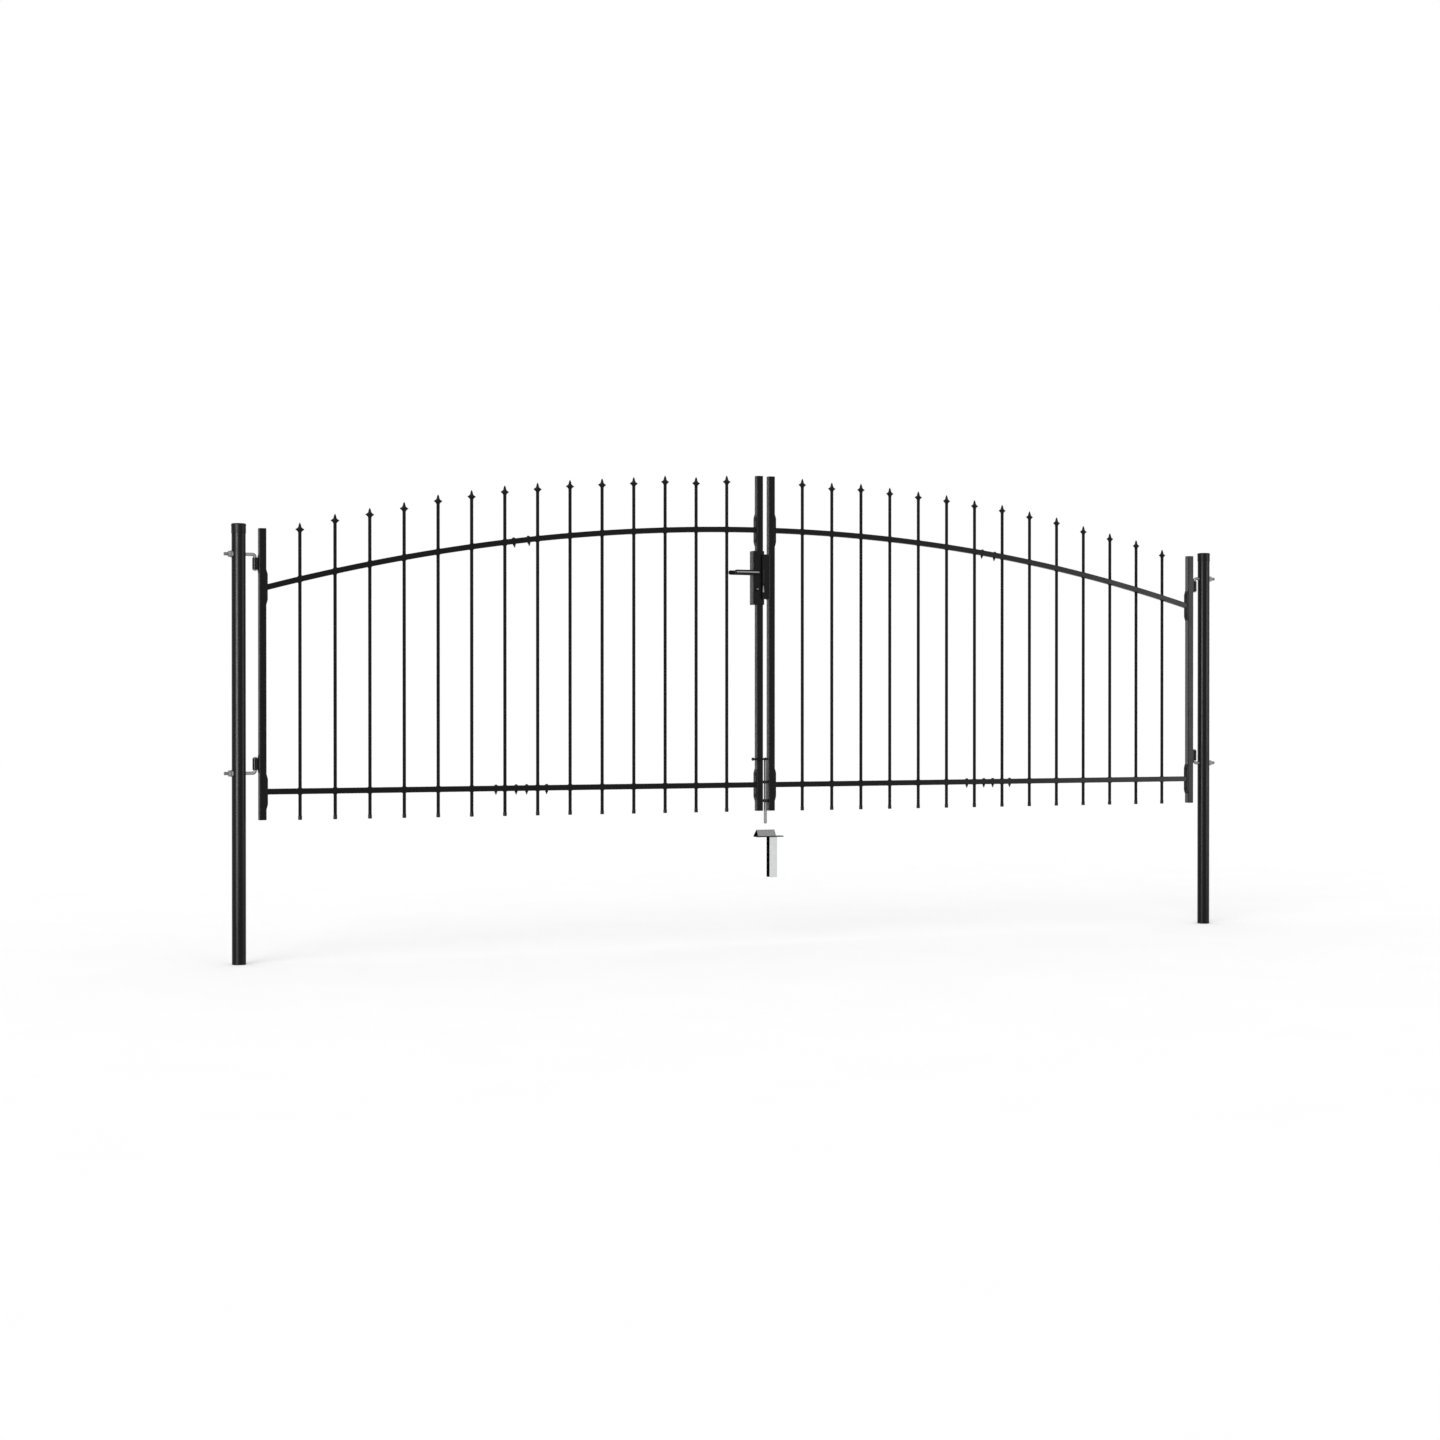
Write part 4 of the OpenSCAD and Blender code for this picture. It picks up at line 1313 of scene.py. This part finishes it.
def right_corners(size, inset, radius):
    """The two rounded corners at the right end of a rectangle that is inset all round."""
    outline = rounded_corners(rectangle(size.x - 2 * inset, size.y - 2 * inset), radius)
    return outline[CORNER_POINTS:3 * CORNER_POINTS]


def base_plate():
    """A plate with two rounded corners and the rod's hole."""
    size = plate_high - plate_low
    sharp = rectangle(size.x, size.y)
    outline = (sharp[0], *right_corners(size, 0, PLATE_CORNER), sharp[3])
    shape = prism(outline, plate_low.z, plate_high.z, SAWN_EDGE)
    place = middle("socket_plate")
    return with_socket_bore(moved(shape, at(place.x, place.y, 0)))


def anchor_channel():
    """A strip bent to a channel that is open to the left."""
    size = anchor_high - anchor_low
    edge, half = -size.x / 2, size.y / 2
    outer = right_corners(size, 0, ANCHOR_BEND)
    inner = right_corners(size, ANCHOR_WALL, ANCHOR_BEND - ANCHOR_WALL)
    outline = [
        (edge, -half), *outer, (edge, half), (edge, half - ANCHOR_WALL), *reversed(inner),
        (edge, ANCHOR_WALL - half),
    ]
    shape = prism(outline, anchor_low.z, anchor_high.z, SHEET_EDGE)
    return moved(shape, at(middle("socket_anchor").x, 0, 0))


def shaded_plate_sides(p, normal):
    """True on the plate's sides, where shade is painted."""
    return abs(normal.z) < 0.8


def shaded_anchor_walls(p, normal):
    """True on the channel's inner walls and on their cut edges, where shade is painted."""
    wall = ANCHOR_WALL * 0.9
    inside = abs(p.y) < anchor_high.y - wall and p.x < anchor_high.x - wall
    return normal.x < -0.5 or (abs(normal.z) < 0.5 and inside)


base = piece("socket_base", [(base_plate(), IN_PLACE)], "posts", ZINC, "socket_plate")
# The plate's sides get painted shade.
paint_hollow_shade(base, shaded_plate_sides)
stake = piece("socket_stake", [(anchor_channel(), IN_PLACE)], "posts", ZINC, "socket_anchor")
# The anchor takes the lit copy of the zinc, whose lighter greys paint it brighter.
stake.data.materials[0] = FINISH["dipped_zinc"]
# The channel's inner walls and cut edges get painted shade.
paint_hollow_shade(stake, shaded_anchor_walls)

# %% [markdown]
# ## Floor, light and camera
# The gate stands on a white floor under a white sky, as in a catalogue picture. The sky is full white for
# the camera and for reflections, and a little lower as a lamp. One soft sun from the upper left gives the
# tubes a bright side and keeps a faint shadow on the floor.

# %% Lay the floor
FLOOR_M = 60.0
MOTTLE_MM = 400.0

matt_white, _, mottle = blank_finish("matt_white_floor", (MOTTLE_MM, 2.0))
close_finish(
    matt_white, {"Roughness": 1.0, "Specular IOR Level": 0.0}, tone=(mottle, "#f6f6f6", "#f9f9f9")
)
floor_mesh = bpy.data.meshes.new("studio_floor")
floor_mesh.from_pydata([(x, y, 0) for x, y in rectangle(FLOOR_M, FLOOR_M)], [], [(0, 1, 2, 3)])
floor_mesh.materials.append(matt_white)
floor = bpy.data.objects.new("studio_floor", floor_mesh)
bpy.context.scene.collection.objects.link(floor)
print("floor laid")

# %% Light the gate
SKY_AS_LAMP = 0.9
SUN_STRENGTH = 1.1
SUN_SPREAD = math.radians(35)
SUN_DIRECTION = Vector((0.62, 0.62, -0.5))


def white_sky():
    """White to the camera and in reflections, a little lower as a lamp."""
    world = bpy.data.worlds.new("white_sky")
    world.use_nodes = True
    tree = world.node_tree
    tree.nodes.clear()
    path = add_node(tree, "ShaderNodeLightPath")
    seen = path.outputs["Is Camera Ray"]
    for ray in ("Is Glossy Ray", "Is Transmission Ray"):
        either = add_node(tree, "ShaderNodeMath", {0: seen, 1: path.outputs[ray]}, operation="MAXIMUM")
        seen = either.outputs["Value"]
    strength = add_node(
        tree, "ShaderNodeMapRange", {"Value": seen, "To Min": SKY_AS_LAMP, "To Max": 1.0}
    )
    sky = add_node(
        tree, "ShaderNodeBackground", {"Color": linear("#ffffff"), "Strength": strength.outputs["Result"]}
    )
    add_node(tree, "ShaderNodeOutputWorld", {"Surface": sky.outputs["Background"]})
    return world


def hang_lamp(light, direction):
    """A lamp object that shines in a direction."""
    lamp = bpy.data.objects.new(light.name, light)
    lamp.rotation_mode = "QUATERNION"
    lamp.rotation_quaternion = direction.to_track_quat("-Z", "Y")
    bpy.context.scene.collection.objects.link(lamp)
    return lamp


bpy.context.scene.world = white_sky()
bpy.context.scene.view_settings.view_transform = "Standard"
sun = bpy.data.lights.new("soft_sun", "SUN")
sun.energy = SUN_STRENGTH
sun.angle = SUN_SPREAD
hang_lamp(sun, SUN_DIRECTION)
print("sky and sun lit")

# %% [markdown]
# Three tall soft boxes show only in reflections on black paint: a bright one in front to the left draws a
# soft line down each post, a dim one in front to the right gives the right end's stile and rails a grey
# front, and a dim one behind gives the square tubes a lighter left face. Each box has its own list of
# pieces. The thin bars are on none, because they look plain black, and neither are the bare metal and the
# floor, so the plain light level stays as it is.

# %% Add the soft boxes
BOX_HEIGHT = 2.8
GATE_MIDDLE = Vector((2.0, 0.0, 1.0))


def soft_box(name, place, width, glow, receivers):
    """A tall lamp that shows only in the receivers' reflections. Its glow is in units of the white sky."""
    light = bpy.data.lights.new(name, "AREA")
    light.shape = "RECTANGLE"
    light.size = width
    light.size_y = BOX_HEIGHT
    light.energy = glow * math.pi * width * BOX_HEIGHT
    lamp = hang_lamp(light, GATE_MIDDLE - place)
    lamp.location = place
    lamp.visible_diffuse = False
    lamp.visible_camera = False
    lit = bpy.data.collections.new(f"lit_by_{name}")
    for made in receivers:
        lit.objects.link(made)
    lamp.light_linking.receiver_collection = lit


wide = [made for made in BLACK_PIECES if not made.name.endswith("bars")]
upright = [made for made in wide if not made.name.endswith("rails")]
square = [made for made in wide if made.name.endswith(("hinge_tube", "meeting_tube", "lock_box"))]
soft_box("left_box", Vector((-2.7, -3.0, 1.0)), width=1.8, glow=30.0, receivers=upright)
soft_box("right_box", Vector((6.6, -3.3, 1.0)), width=2.2, glow=8.0, receivers=wide)
soft_box("back_box", Vector((1.9, 4.1, 1.0)), width=1.6, glow=7.0, receivers=square)
print("soft boxes on", len(upright), len(wide), "and", len(square), "pieces")

# %% [markdown]
# The camera was worked out from the evenly spaced bars: it stands to the left of the gate, a little below
# the lock, and looks along the horizon.

# %% Set the camera
CAMERA_AT = Vector((-1.727, -8.146, 0.880))
CAMERA_YAW = math.radians(23.40)
CAMERA_DIP = math.radians(0.287)
SENSOR_MM = 36.0
LENS_MM = 59.502
CLIP_END_M = 200.0

camera_data = bpy.data.cameras.new("photo_camera")
camera_data.sensor_width = SENSOR_MM
camera_data.lens = LENS_MM
camera_data.clip_end = CLIP_END_M
camera = bpy.data.objects.new("photo_camera", camera_data)
camera.location = CAMERA_AT
camera.rotation_euler = (math.pi / 2 - CAMERA_DIP, 0, -CAMERA_YAW)
bpy.context.scene.collection.objects.link(camera)
bpy.context.scene.camera = camera
print("camera at", tuple(round(v, 3) for v in camera.location))

# %% [markdown]
# ## Bring the scene up to date
# Last, the scene is brought up to date.

# %% Update the scene
bpy.context.view_layer.update()
